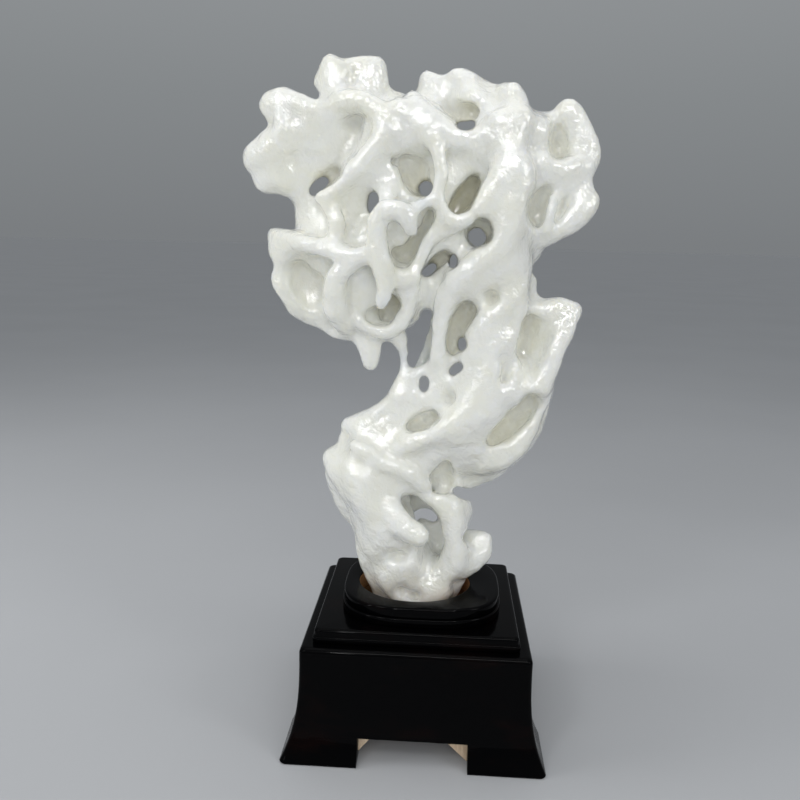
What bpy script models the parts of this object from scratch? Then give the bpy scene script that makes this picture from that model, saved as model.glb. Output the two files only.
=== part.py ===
"""Scholar's rock of carved white stone, standing in a black lacquered wooden stand.

The stone is one carved piece: a broad head full of hollows, windows and winding ridges, a thin
throat, a column that swings out to the right and a foot that stands in the stand's socket.
The stand is three wooden pieces: a flared body on four bracket feet, a stepped plate on top of
it and an oval two-band collar round the socket.

Units: the sizes below are millimetres, the scene is in metres, +Z is up and the front is -Y.
The origin lies on the table, under the middle of the whole object.
"""

import math

import bmesh
import bpy
from mathutils import Matrix, Vector

MM = 0.001
NAME = "scholars_rock_with_stand"

# ---------------------------------------------------------------- driving dimensions (mm)
STAND_AXIS_X = 6.5          # the stand stands this far right of the whole object's middle
GAP = 0.3                   # air left between two pieces

BODY_WIDTH = 130.0          # left to right, across the top
BODY_DEPTH = 120.5          # front to back, across the top
BODY_HEIGHT = 65.7
BODY_FLARE = 10.2           # how far each side spreads at the table
FLARE_POWER = 3.4           # the higher, the later the sides start to spread
BODY_CORNER = 3.0
BODY_EDGE = 3.0             # rounding of the top edge
TOE_EDGE = 1.2              # rounding of the feet's lower edge

WALL = 13.0                 # thickness of the body's side boards at the top
TOP_BOARD = 16.0            # wood left over the hollow underside

ARCH_HEIGHT = 15.1          # gap between the feet
ARCH_WIDTH_FRONT = 61.9
ARCH_WIDTH_SIDE = 56.0
ARCH_SETBACK = 6.0          # the raw-wood haunches stand this far behind the front face
HAUNCH_RIGHT = 15.0         # length along the arch's top, and drop down its side
HAUNCH_RIGHT_DROP = 14.6
HAUNCH_LEFT = 9.5
HAUNCH_LEFT_DROP = 11.6

PLATE_INSET = 7.3           # the step plate is this much smaller all round
PLATE_TOP = 74.3            # height over the table
PLATE_LIP = 0.8             # the lower half of its edge stands proud by this much
PLATE_CORNER = 3.0

COLLAR_TOP = 86.0
COLLAR_CENTRE = (1.5, -5.0)
COLLAR_HALF = (46.6, 41.0)  # half width, half depth
COLLAR_POWER = 3.0          # 2 is a plain oval, higher is squarer
COLLAR_BAND = 6.2           # height of the upper band
COLLAR_GROOVE = 1.0

SOCKET_CENTRE = (-3.0, -6.0)
SOCKET_HALF = (33.6, 30.0)
OVAL_STEPS = 48

STONE_FLOOR = BODY_HEIGHT + GAP   # the stone's foot stands on the body, inside the collar
STONE_CLEARANCE = 1.6             # least air between the stone and the socket's wall
SOCKET_TAPER = 10.0               # height over the collar in which the foot may widen at 45 degrees
STONE_VOXEL = 2.0
STONE_CLOSE = 1.7                 # crevices narrower than twice this are filled
STONE_SOFTEN_RIMS = 9
STONE_PLUMP = 0.9                 # gives the ridges back what softening takes
STONE_SOFTEN = 5
STONE_TRIANGLES = 7600

# The stone is laid out on a front view: u counts to the right and v downwards in squares of
# the view, depth is the distance behind the stand's axis in mm (minus is nearer the front)
# and the radius is in squares too. A square is the sight line's length over VIEW_SQUARES.
VIEW_POINT = Vector((9.8, -464.9, 290.8))
VIEW_SQUARES = 800.0
VIEW_MIDDLE = (400.0, 400.0)
VIEW_YAW, VIEW_PITCH, VIEW_ROLL = -3.05, 11.43, 1.38

# Limbs: chains of (u, v, depth, radius), each a rounded bar from ball to ball.
LIMBS = {
    # Crown and horns along the top
    "crown_left": ((331, 66, -4, 12), (335, 84, -4, 16), (343, 102, -2, 19)),
    "crown_right": ((374, 68, 2, 13), (372, 86, 2, 16), (362, 104, 0, 19)),
    "crown_bump": ((318, 81, -1, 7.5), (325, 90, 0, 9)),
    "crown_fill": ((352, 74, 0, 14.5), (363, 72, 0, 14.5), (352, 98, 0, 22)),
    "horn": ((273, 105, -8, 14.5), (284, 102, -8, 15.5), (302, 112, -6, 17),
        (335, 118, -4, 19)),
    "saddle_bump": ((397, 98, 6, 8), (400, 108, 4, 12)),
    "left_bulge": ((258, 158, -4, 16), (275, 150, -6, 20), (300, 138, -6, 20)),
    "left_bulge_low": ((267, 180, -2, 14), (280, 175, -4, 18), (300, 180, 0, 16)),
    "top_knob_back": ((427, 79, 8, 9), (431, 96, 6, 14)),
    "top_peak": ((455, 76, 2, 9), (466, 78, 0, 9), (470, 98, -4, 14), (478, 112, -8, 14)),
    "top_left_front": ((412, 98, -12, 9), (418, 112, -18, 12), (440, 132, -20, 12),
        (465, 140, -20, 12)),
    "top_bulge": ((448, 139, -17, 11), (462, 143, -17, 12), (476, 139, -17, 11)),
    "crest": ((466, 78, 2, 9), (484, 92, 4, 9), (500, 97, 2, 11), (512, 92, -8, 11),
        (516, 106, -10, 13)),
    "front_top": ((512, 95, -10, 11), (520, 118, -14, 14), (500, 125, -20, 14)),
    "long_pit_bed": ((466, 150, -10, 17), (486, 150, -12, 16), (500, 160, -12, 14)),
    # Body of the head, behind the ridges
    "core_a": ((308, 152, 5, 30), (350, 142, 6, 38), (400, 142, 6, 42), (450, 140, 6, 40),
        (500, 142, 5, 42)),
    "core_b": ((303, 166, 7, 24), (322, 205, 7, 26), (330, 242, 6, 36), (322, 272, 5, 34)),
    "core_c": ((350, 190, 6, 40), (400, 190, 6, 46), (450, 190, 6, 46)),
    "core_d": ((350, 240, 6, 42), (400, 240, 6, 46), (450, 240, 6, 44)),
    "core_e": ((325, 288, 5, 32), (362, 294, 5, 38), (400, 288, 5, 40), (425, 280, 7, 36)),
    "core_f": ((500, 150, 5, 42), (530, 150, 7, 38), (555, 162, 9, 24)),
    "core_g": ((500, 190, 6, 44), (530, 195, 7, 40), (555, 208, 7, 26)),
    "core_h": ((490, 235, 6, 42), (512, 237, 7, 34)),
    "core_i": ((492, 262, 6, 36), (497, 290, 6, 30), (498, 320, 6, 30)),
    "throat_front": ((512, 215, -12, 26), (505, 238, -13, 26), (502, 262, -13, 26),
        (486, 276, -16, 20), (470, 288, -17, 14)),
    "throat_side": ((508, 285, -10, 22), (498, 296, -12, 20), (486, 296, -14, 15)),
    # Ridges that stand out on the left of the head
    "rim_a_top": ((320, 120, -8, 8), (329, 109, -13, 8.5), (342, 100, -17, 9),
        (358, 98, -19, 9), (373, 104, -21, 9.5), (385, 117, -23, 10.5)),
    "rim_a": ((385, 117, -23, 10.5), (386, 132, -24, 10.5), (374, 150, -25, 10),
        (352, 170, -24, 10), (333, 186, -22, 10), (324, 197, -18, 10)),
    "brow_left": ((396, 122, -14, 19), (410, 132, -15, 18), (422, 136, -14, 18),
        (400, 138, -14, 13)),
    "cheek_fill": ((367, 172, -12, 19), (353, 190, -10, 15), (380, 160, -15, 14),
        (384, 178, -15, 13), (372, 190, -10, 10)),
    "cheek_bed": ((362, 272, -13, 15), (360, 292, -13, 15)),
    "wall_mid": ((388, 130, -20, 14), (386, 160, -16, 12), (387, 184, -19, 9),
        (387, 204, -26, 9)),
    "ridge_left": ((274, 234, -6, 7.5), (287, 240, -14, 11), (303, 243, -22, 9),
        (330, 249, -25, 9), (350, 258, -27, 9), (372, 254, -28, 9)),
    "left_lobe_low": ((280, 252, -10, 12), (300, 262, -10, 14)),
    "left_edge": ((278, 276, -8, 9), (284, 286, -8, 11), (300, 300, -6, 13),
        (325, 312, -2, 14), (345, 322, 0, 14)),
    "left_bumps": ((293, 308, -6, 7.5), (303, 313, -4, 8.5), (318, 318, -4, 10),
        (338, 328, -4, 10), (348, 330, -4, 10)),
    "e_rim": ((362, 318, -16, 12), (385, 332, -16, 9), (400, 322, -16, 9),
        (406, 305, -18, 9), (410, 290, -20, 10)),
    # Ridges in the middle and on the right of the head
    "ridge_mid": ((384, 268, -27, 8), (398, 281, -25, 7.5), (411, 277, -25, 7.5),
        (424, 267, -23, 7)),
    "ridge_join": ((446, 214, -14, 11), (440, 206, -16, 9), (455, 220, -14, 9),
        (446, 228, -18, 9)),
    "knob_right": ((568, 111, 2, 12.5), (575, 122, 2, 13), (586, 142, 0, 13),
        (589, 158, 0, 12.5), (580, 174, -4, 13.5), (565, 180, -6, 14)),
    "knob_right_wall": ((540, 128, -10, 12), (543, 145, -14, 9), (546, 160, -14, 10),
        (562, 170, -12, 11), (578, 168, -6, 12)),
    "lobe_right": ((589, 201, -6, 12), (578, 213, -8, 14.5), (560, 223, -8, 15),
        (545, 232, -6, 14)),
    "lobe_right_fill": ((556, 204, -6, 15), (570, 200, -5, 14), (582, 196, -4, 12)),
    "front_ridge_a": ((520, 120, -18, 13), (508, 150, -22, 14), (503, 175, -25, 14),
        (487, 200, -26, 12), (474, 216, -26, 10)),
    "front_ridge_b": ((515, 170, -22, 20), (514, 205, -24, 19), (506, 232, -24, 16),
        (496, 252, -24, 14), (474, 266, -24, 13), (456, 280, -22, 12), (446, 298, -20, 10),
        (441, 318, -18, 8.5), (440, 338, -16, 8), (436, 358, -13, 8)),
    # Column that swings out to the right under the head
    "column_upper": ((452, 296, -2, 24), (455, 325, -1, 22), (452, 350, 0, 19),
        (470, 372, -2, 24)),
    "column_ridge": ((520, 262, -12, 12), (515, 285, -15, 14), (503, 303, -17, 15),
        (488, 322, -17, 15), (478, 337, -17, 13), (473, 353, -16, 12), (470, 370, -14, 12)),
    "column_core": ((500, 325, 0, 28), (495, 360, 0, 32), (490, 395, 0, 38),
        (480, 420, 0, 38), (450, 440, 0, 34), (410, 442, 0, 30), (378, 455, 0, 30)),
    "bay_folds": ((533, 280, 2, 6), (529, 291, 2, 6.5), (534, 305, 2, 7)),
    "ear_top": ((573, 311, -4, 10), (560, 309, -4, 13), (545, 315, -2, 15),
        (530, 320, -2, 18)),
    "ear_rim": ((573, 311, -6, 9), (565, 332, -10, 9), (556, 350, -12, 9),
        (550, 368, -12, 10), (540, 386, -14, 11), (522, 398, -16, 12)),
    "ear_core": ((540, 330, 6, 20), (532, 355, 6, 24), (522, 380, 4, 26)),
    "ear_left": ((517, 300, -16, 11), (520, 322, -17, 8), (519, 338, -17, 7),
        (512, 352, -18, 9), (500, 362, -20, 11)),
    "wing": ((543, 384, 6, 11), (538, 402, 7, 12), (528, 424, 8, 15), (516, 440, 8, 17),
        (502, 453, 6, 17), (482, 458, 4, 16), (462, 460, 0, 15)),
    "wing_rim": ((545, 386, -6, 9), (538, 404, -6, 9), (530, 425, -7, 9.5),
        (517, 445, -8, 11), (500, 458, -8, 13), (480, 462, -8, 12)),
    "wing_lumps": ((470, 477, 4, 10), (484, 474, 4, 9), (496, 466, 4, 10)),
    "column_front": ((490, 372, -18, 14), (482, 395, -20, 14), (470, 412, -21, 12),
        (450, 426, -21, 11), (425, 437, -21, 8), (405, 444, -20, 9)),
    "column_face": ((488, 322, -12, 22), (495, 350, -12, 26), (492, 380, -12, 28),
        (478, 405, -12, 28), (455, 425, -12, 24), (430, 436, -12, 16)),
    # Neck and shoulder over the foot
    "shoulder": ((350, 425, -4, 10), (362, 423, -5, 11.5), (380, 416, -6, 12),
        (398, 402, -6, 12)),
    "shoulder_fill": ((365, 432, -4, 14), (390, 425, -4, 18), (410, 412, -4, 14)),
    "bridge_low": ((404, 380, -8, 8), (416, 372, -8, 6.5), (432, 370, -8, 8),
        (445, 376, -8, 9)),
    "bridge_body": ((408, 398, -8, 11), (425, 400, -9, 10), (440, 392, -9, 11),
        (462, 385, -8, 14)),
    "bridge_fill": ((406, 390, -8, 9), (417, 394, -8, 7), (430, 388, -8, 7.5),
        (438, 380, -8, 8)),
    "lobe_left_low": ((333, 458, -6, 11), (345, 468, -8, 19), (362, 482, -8, 24)),
    "lobe_left_back": ((346, 437, 0, 8), (352, 446, 0, 11)),
    "lobe_left_outer": ((334, 474, 2, 10), (343, 494, 5, 11), (351, 508, 8, 11.5),
        (359, 521, 6, 8.5), (368, 536, 2, 11)),
    "low_fill": ((366, 442, -8, 17), (382, 450, -9, 18), (400, 456, -9, 18),
        (416, 462, -8, 16)),
    "low_core": ((375, 475, -4, 34), (380, 505, -4, 30), (388, 535, -4, 30),
        (402, 565, -2, 30)),
    "low_face": ((360, 470, -14, 22), (372, 495, -15, 22), (384, 520, -16, 20),
        (396, 545, -15, 20), (404, 570, -12, 20)),
    "lobe_face": ((346, 470, -11, 15), (364, 474, -14, 17), (384, 481, -15, 17),
        (400, 486, -14, 12)),
    # Foot that stands in the socket
    "foot_back_wall": ((402, 498, 18, 14), (418, 494, 20, 14), (434, 498, 22, 12),
        (440, 530, 16, 14)),
    "pillar_top": ((426, 480, -10, 13), (438, 482, -8, 14), (452, 492, -5, 12)),
    "pillar": ((428, 490, -12, 12), (440, 497, -12, 13), (449, 508, -12, 13),
        (454, 524, -13, 12), (456, 540, -13, 12), (455, 556, -12, 13), (448, 572, -10, 15)),
    "pillar_bump": ((457, 500, -4, 14), (459, 512, -4, 14), (457, 524, -6, 11)),
    "pillar_back": ((430, 462, 16, 14), (448, 476, 14, 13), (440, 490, 12, 12)),
    "base_lobe": ((470, 538, 4, 10), (482, 538, 2, 8), (488, 537, 2, 5.5), (486, 546, 1, 7),
        (481, 553, 0, 11), (468, 560, -4, 14), (452, 567, -8, 16)),
    "base_left": ((370, 548, -2, 14), (378, 568, -2, 14), (387, 588, -2, 14),
        (394, 604, -2, 14)),
    "base_right": ((446, 570, -8, 13), (436, 585, -8, 13), (425, 600, -6, 14)),
    "base_core": ((405, 560, 0, 28), (412, 585, 0, 26), (412, 610, 0, 26)),
    "base_wall_r": ((455, 575, 0, 12), (445, 590, 0, 13), (432, 606, 0, 14)),
    "base_front": ((395, 572, -12, 20), (410, 592, -11, 20), (430, 592, -11, 18),
        (442, 582, -10, 16)),
    "base_back": ((412, 572, 14, 20), (412, 604, 12, 20)),
    "back_wall_low": ((430, 510, 16, 12), (440, 545, 14, 14), (440, 575, 10, 16)),
    # Back of the stone
    "knob_right_back": ((560, 130, 10, 12), (562, 150, 10, 14)),
    "crest_back": ((440, 90, 8, 12), (462, 86, 10, 12), (482, 94, 10, 12), (470, 112, 6, 14)),
    "back_a": ((318, 158, 24, 24), (360, 130, 30, 26), (410, 140, 34, 30), (462, 150, 34, 28)),
    "back_b": ((500, 168, 32, 32), (540, 178, 24, 26)),
    "back_c": ((340, 232, 26, 28), (390, 250, 32, 30), (440, 226, 34, 32), (484, 240, 28, 28)),
    "back_d": ((330, 280, 20, 24), (370, 292, 26, 24), (410, 270, 26, 26)),
    "back_e": ((500, 300, 22, 24), (504, 350, 24, 26), (490, 400, 24, 28), (450, 435, 20, 26)),
    "back_f": ((400, 450, 20, 24), (375, 480, 20, 24), (390, 530, 18, 22), (410, 570, 12, 22)),
    "back_lump_left": ((352, 160, 46, 16), (372, 188, 44, 14), (366, 214, 40, 12)),
    "back_lump_top": ((430, 104, 26, 18), (452, 128, 44, 17), (490, 140, 46, 15)),
    "back_lump_right": ((520, 200, 42, 16), (500, 222, 44, 15)),
    "back_lump_heart": ((420, 196, 50, 15), (412, 222, 50, 14), (430, 250, 46, 12)),
    "back_lump_low": ((492, 330, 42, 14), (510, 372, 38, 13), (486, 420, 38, 13)),
    "back_lump_base": ((372, 470, 36, 13), (388, 505, 34, 12), (408, 545, 28, 12)),
}

# Hollows: (depth of the mouth, depth of the floor, widening towards the floor, places), where
# the places are (u, v, radius) and neighbours along a chain run into one groove.
HOLLOWS = {
    # Worked from the front
    "bowl": (-36, -13, 0.65, ((362, 117, 10), (356, 131, 15), (343, 147, 20),
        (326, 161, 22), (306, 162, 19), (290, 158, 12))),
    "bowl_slope": (-40, -21, 0.85, ((305, 143, 22), (325, 136, 24), (345, 128, 22))),
    "crown_dish": (-34, -5, 0.7, ((353, 71, 8), (351, 84, 9))),
    "bowl_socket": (-26, -9, 0.9, ((353, 124, 12),)),
    "bowl_undercut": (-30, -2, 0.9, ((336, 172, 9), (323, 181, 11))),
    "slant_pit": (-34, -17, 0.75, ((370, 192, 8), (364, 203, 9), (357, 217, 9.5),
        (351, 234, 9))),
    "strut_dimple": (-36, -22, 0.7, ((319, 208, 8.5), (320, 221, 9))),
    "ridge_dimple": (-36, -20, 0.8, ((321, 235, 5),)),
    "left_bay": (-50, 50, 1.0, ((284, 210, 13.5), (268, 212, 15))),
    "left_cave": (-32, -12, 0.85, ((300, 270, 15), (305, 285, 20), (312, 300, 16))),
    "left_cave_deep": (-20, -8, 0.9, ((318, 278, 9), (320, 291, 9))),
    "cheek_scoop": (-38, -27, 0.8, ((364, 276, 9), (359, 290, 11), (358, 303, 10))),
    "hook_pit": (-34, -5, 0.85, ((373, 316, 12), (384, 316, 14), (394, 305, 11))),
    "hook_hole": (-20, -2, 0.9, ((390, 297, 7.5),)),
    "chin_lens": (-26, -4, 0.9, ((335, 330, 8), (345, 334, 9))),
    "knob_cup": (-46, -34, 0.7, ((393, 226, 9), (391, 237, 8))),
    "eye": (-36, -13, 0.75, ((405, 162, 14), (421, 166, 14), (412, 174, 18), (419, 184, 18),
        (423, 190, 13))),
    "middle_pit": (-36, -11, 0.75, ((431, 211, 8), (427, 225, 10), (417, 240, 12),
        (406, 256, 13.5))),
    "middle_slot": (-34, -8, 0.8, ((392, 247, 4.5), (393, 258, 4.5))),
    "lower_pit": (-36, -5, 0.75, ((446, 255, 9), (437, 262, 11), (429, 270, 9))),
    "long_pit": (-36, -4, 0.92, ((474, 182, 10), (467, 193, 12.5), (460, 204, 13),
        (454, 213, 10))),
    "round_pit": (-38, -15, 0.85, ((479, 232, 18.5),)),
    "round_valley": (-38, -20, 0.6, ((476, 236, 13), (462, 245, 10), (448, 252, 8))),
    "top_scoop": (-34, -3, 0.85, ((447, 105, 10), (458, 111, 13), (469, 113, 12.5),
        (476, 110, 8.5))),
    "knob_recess": (-30, 0, 0.9, ((558, 130, 10), (559, 143, 13), (560, 152, 11.5))),
    "knob_dimple": (-38, -16, 0.8, ((538, 148, 10),)),
    "swirl_pit": (-38, -10, 0.85, ((545, 192, 11), (539, 202, 13), (537, 213, 13),
        (540, 224, 10))),
    "swirl_valley": (-38, -8, 0.7, ((567, 197, 8.5), (562, 209, 8.5), (557, 222, 7))),
    "throat_pit": (-36, -7, 0.85, ((467, 311, 14), (459, 323, 14), (454, 338, 12),
        (453, 350, 9.5))),
    "column_dimple": (-38, -19, 0.9, ((492, 297, 11.5),)),
    "ear_pit": (-32, -4, 0.9, ((531, 322, 11), (528, 338, 13), (525, 352, 11))),
    "ear_scoop": (-30, -11, 0.9, ((539, 326, 13), (536, 345, 14), (529, 362, 11))),
    "ear_slot": (-24, 6, 0.9, ((516, 352, 4.5),)),
    "ear_dimple": (-36, -19, 0.8, ((508, 366, 9.5), (504, 380, 10))),
    "column_flat": (-38, -24, 0.8, ((507, 349, 8), (502, 358, 7))),
    "shoulder_pit": (-36, -6, 0.8, ((411, 427, 9.5), (421, 422, 12.5), (433, 416, 10.5))),
    "shoulder_pock": (-30, -8, 0.8, ((384, 415, 6.5),)),
    "neck_dimple": (-36, -13, 0.9, ((449, 397, 11),)),
    "wing_trough": (-36, -7, 0.85, ((490, 442, 8.5), (503, 432, 12.5), (517, 418, 15.5),
        (531, 402, 13))),
    "lobe_dimple": (-40, -24, 0.7, ((355, 464, 9), (364, 466, 10))),
    "shoulder_notch": (-30, 4, 0.8, ((349, 436, 6.5),)),
    "lobe_pock": (-40, -24, 0.8, ((394, 443, 5.5),)),
    "pillar_pit": (-36, -7, 0.9, ((434, 484, 12), (443, 472, 12), (447, 464, 8),
        (446, 487, 10))),
    "foot_pit": (-36, -8, 0.8, ((403, 500, 8), (412, 503, 10), (426, 513, 10),
        (436, 527, 9), (439, 541, 8))),
    "base_dimple": (-40, -17, 0.8, ((400, 590, 8.5),)),
    "base_arch": (-40, -16, 0.8, ((416, 596, 8.5),)),
    "base_right_pit": (-36, -6, 0.8, ((456, 585, 9),)),
    "base_scoop": (-36, -21, 0.7, ((393, 556, 10), (406, 556, 10))),
    "base_pock": (-34, -14, 0.8, ((429, 562, 7),)),
    "base_side_pit": (-34, -2, 0.8, ((466, 538, 8),)),
    "long_pit_mouth": (-42, -26, 0.6, ((494, 152, 12), (482, 167, 14), (469, 188, 15),
        (458, 203, 13))),
    # Worked from the back
    "back_crown": (74, 28, 0.7, ((345, 118, 11), (330, 140, 14), (318, 158, 11))),
    "back_head_left": (74, 20, 0.7, ((392, 150, 15), (408, 166, 16))),
    "back_head_mid": (74, 30, 0.7, ((468, 150, 13), (482, 166, 15), (490, 182, 11))),
    "back_head_right": (74, 16, 0.7, ((528, 150, 13), (546, 172, 12))),
    "back_left_low": (74, 22, 0.7, ((345, 212, 14), (335, 236, 12))),
    "back_middle": (74, 24, 0.7, ((438, 228, 14), (450, 205, 12))),
    "back_heart": (74, 16, 0.7, ((385, 262, 13), (372, 290, 14))),
    "back_small": (74, 26, 0.7, ((425, 262, 9),)),
    "back_throat": (74, 16, 0.7, ((500, 245, 13), (508, 222, 12))),
    "back_ear": (74, 14, 0.7, ((508, 312, 13), (500, 338, 16))),
    "back_column": (74, 22, 0.7, ((488, 392, 15), (474, 412, 12))),
    "back_elbow": (74, 28, 0.7, ((436, 442, 12), (420, 434, 11))),
    "back_low_left": (74, 14, 0.7, ((385, 485, 14), (378, 508, 11))),
    "back_foot": (74, 16, 0.7, ((412, 545, 12), (398, 558, 11))),
    "back_foot_right": (74, 16, 0.7, ((447, 524, 9),)),
}

# Ridges that reach over the hollows, laid on once these are carved.
RIDGES = {
    "horn_ridge": ((281, 107, -13, 8.5), (283, 124, -15, 8), (278, 141, -15, 8),
        (263, 156, -9, 9)),
    "low_ridge": ((424, 437, -20, 8), (410, 446, -21, 8), (398, 448, -19, 8)),
    "shoulder_step": ((355, 446, -19, 8), (368, 452, -21, 8), (378, 462, -22, 8),
        (392, 467, -22, 8), (408, 473, -21, 8.5), (424, 486, -15, 9.5)),
    "strut_left": ((320, 193, -18, 9), (329, 204, -19, 9), (337, 220, -20, 8.5),
        (335, 236, -21, 8.5), (330, 249, -22, 9)),
    "ridge_b": ((400, 110, -18, 13), (425, 130, -22, 11), (439, 152, -25, 8),
        (441, 176, -25, 7.5), (437, 196, -26, 7.5), (444, 218, -26, 8), (460, 224, -26, 8)),
    "knob_lobe": ((408, 218, -33, 10), (411, 229, -31, 8.5)),
    "knob": ((409, 219, -33, 10), (400, 210, -35, 10.5), (386, 209, -35, 10.5),
        (377, 221, -33, 11), (377, 238, -32, 11.5), (379, 254, -30, 12), (385, 270, -28, 10)),
    "spike": ((371, 362, -8, 8.5), (370, 350, -8, 11.5), (368, 336, -6, 16),
        (362, 318, -4, 18)),
    "back_strut": ((437, 322, 10, 8), (430, 345, 10, 6), (422, 364, 8, 6), (418, 372, 4, 7)),
    "bridge_left": ((412, 378, -8, 6), (410, 386, -8, 7)),
    "d_rim": ((372, 254, -27, 9), (350, 262, -26, 10), (338, 275, -25, 11),
        (334, 292, -23, 12), (336, 310, -18, 13), (346, 324, -12, 12)),
    "chin_rim": ((322, 326, -6, 5), (334, 334, -6, 5.5), (346, 337, -6, 5.5),
        (355, 333, -8, 6)),
    "ridge_b2": ((437, 197, -26, 6.5), (424, 203, -28, 6.5), (412, 210, -30, 8)),
    "arch": ((385, 330, -10, 10), (398, 336, -8, 9), (404, 350, -6, 7)),
    "strut_thin": ((403, 344, -6, 8), (404, 357, -7, 5.5), (404, 368, -8, 5.5),
        (403, 380, -8, 9), (402, 395, -8, 14)),
    "hook": ((379, 254, -31, 11), (383, 270, -31, 10.5), (385, 285, -30, 9),
        (384, 296, -30, 7.5), (381, 303, -29, 6.5)),
    "pit_wall": ((442, 222, -23, 8), (431, 238, -24, 7), (424, 250, -23, 6.5),
        (420, 262, -23, 6.5), (411, 275, -24, 7)),
    "pit_back": ((428, 484, 4, 9), (438, 482, 4, 9)),
    "pit_brow": ((432, 240, -21, 5.5), (446, 232, -23, 6.5), (456, 226, -25, 7),
        (468, 219, -26, 8)),
    "swirl": ((553, 197, -14, 5), (551, 209, -16, 5.5), (549, 221, -16, 5.5),
        (544, 231, -14, 6)),
    "finger": ((378, 500, -18, 17), (391, 514, -22, 15), (405, 528, -25, 13.5),
        (419, 536, -27, 11.5)),
}

# Windows and notches, cut right through once the ridges are on; laid out like the hollows.
WINDOWS = {
    "crown_notch": (-40, 40, 1.0, ((300, 84, 8), (310, 91, 6), (317, 96.5, 3.6),
        (320, 99, 3.4))),
    "right_notch": (-40, 40, 1.0, ((457, 491, 5), (466, 494, 6.5), (480, 497, 9))),
    "bowl_window": (-20, 75, 1.0, ((313, 192, 5.5), (318, 186, 7), (325, 181, 5.2))),
    "slant_window": (-24, 75, 1.15, ((374, 196, 5.5), (374, 203, 6.2), (372, 210, 5))),
    "eye_window": (-14, 75, 1.0, ((427, 189, 8.5),)),
    "eye_slit": (-30, 75, 1.0, ((393, 157, 3.8), (394, 164, 3.8))),
    "lower_window": (-30, 75, 1.0, ((424, 274, 4.2), (429, 270, 5.4), (434, 266, 4.4))),
    "lower_slit": (-40, 75, 1.0, ((453, 257, 4), (454.5, 262, 4.2), (453, 267, 4))),
    "round_window": (-24, 75, 1.0, ((477, 237, 10),)),
    "top_slit": (-36, 75, 1.0, ((459, 125.5, 4.6), (466, 126.5, 5), (473, 125, 4.6))),
    "throat_gap": (-50, 75, 1.0, ((427, 314, 6.5), (421, 329, 9), (415, 345, 8.5),
        (413, 358, 5.5))),
    "throat_window": (-30, 75, 1.0, ((462, 340, 4.6), (463, 347, 5))),
    "throat_slit": (-30, 75, 1.0, ((452, 372, 5), (459, 367, 5.5))),
    "neck_window": (-40, 75, 1.0, ((424, 380, 5.8), (424, 388, 5.6))),
    "foot_window": (-20, 75, 1.0, ((421, 513, 5.2), (428, 514, 6.5), (434, 518, 5))),
}


# ---------------------------------------------------------------------------- small helpers
def clear_scene():
    """Remove every object that is in the scene."""
    for item in list(bpy.data.objects):
        bpy.data.objects.remove(item, do_unlink=True)


def make_collection(name):
    """Return a new collection in the scene."""
    collection = bpy.data.collections.new(name)
    bpy.context.scene.collection.children.link(collection)
    return collection


def make_material(name, colour, roughness, metallic=0.0):
    """Return a Principled BSDF material."""
    material = bpy.data.materials.new(name)
    material.use_nodes = True
    shader = material.node_tree.nodes["Principled BSDF"]
    shader.inputs["Base Color"].default_value = (*colour, 1.0)
    shader.inputs["Roughness"].default_value = roughness
    shader.inputs["Metallic"].default_value = metallic
    material.diffuse_color = (*colour, 1.0)
    return material


def make_object(name, bm, collection, material=None, parent=None):
    """Turn a bmesh (in mm) into an object (in metres)."""
    bmesh.ops.scale(bm, vec=(MM, MM, MM), verts=bm.verts)
    bmesh.ops.recalc_face_normals(bm, faces=bm.faces)
    mesh = bpy.data.meshes.new(name)
    bm.to_mesh(mesh)
    bm.free()
    if material:
        mesh.materials.append(material)
    item = bpy.data.objects.new(name, mesh)
    collection.objects.link(item)
    item.parent = parent
    return item


def make_cutter(name, bm, collection, parent=None):
    """Make an object that only cuts others and never shows."""
    item = make_object(name, bm, collection, parent=parent)
    item.hide_render = True
    item.display_type = "WIRE"
    return item


def cut(item, cutter):
    """Take the cutter away from the object."""
    boolean = item.modifiers.new(cutter.name, "BOOLEAN")
    boolean.operation = "DIFFERENCE"
    boolean.solver = "EXACT"
    boolean.object = cutter


def add_box(bm, low, high):
    """Add a box between two corners."""
    middle = (Vector(low) + Vector(high)) / 2
    size = Vector(high) - Vector(low)
    bmesh.ops.create_cube(
        bm, size=1.0, matrix=Matrix.Translation(middle) @ Matrix.Diagonal((*size, 1.0)))


def profiled_block(width, depth, corner, steps):
    """A block whose sides follow a profile.

    The steps are (outward offset, height) from the base to the top.
    """
    base, top = steps[0][1], steps[-1][1]
    bm = bmesh.new()
    add_box(bm, (-width / 2, -depth / 2, base), (width / 2, depth / 2, top))
    for _, height in steps[1:-1]:
        bmesh.ops.bisect_plane(
            bm, geom=[*bm.verts, *bm.edges, *bm.faces], dist=0.001,
            plane_co=(0.0, 0.0, height), plane_no=(0.0, 0.0, 1.0))
    upright = [edge for edge in bm.edges
               if abs(edge.verts[0].co.z - edge.verts[1].co.z) > 0.01
               and abs(edge.verts[0].co.x) > width / 2 - 0.01]
    bmesh.ops.bevel(
        bm, geom=upright, offset=corner, segments=4, profile=0.5, affect="EDGES", material=-1)
    for vert in bm.verts:
        offset = min(steps, key=lambda step: abs(step[1] - vert.co.z))[0]
        vert.co.x *= 1.0 + 2.0 * offset / width
        vert.co.y *= 1.0 + 2.0 * offset / depth
    return bm


def oval_reach(angle, centre, half, power):
    """Point of a squarish oval at an angle round its own centre; power 2 is an ellipse."""
    c, s = math.cos(angle), math.sin(angle)
    reach = (abs(c) ** power + abs(s) ** power) ** (-1.0 / power)
    return Vector((centre[0] + half[0] * reach * c, centre[1] + half[1] * reach * s))


# ---------------------------------------------------------------------------------- stand
def flare(height):
    """How far the body's side stands out at a height over the table."""
    return BODY_FLARE * max(0.0, 1.0 - height / BODY_HEIGHT) ** FLARE_POWER


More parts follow.
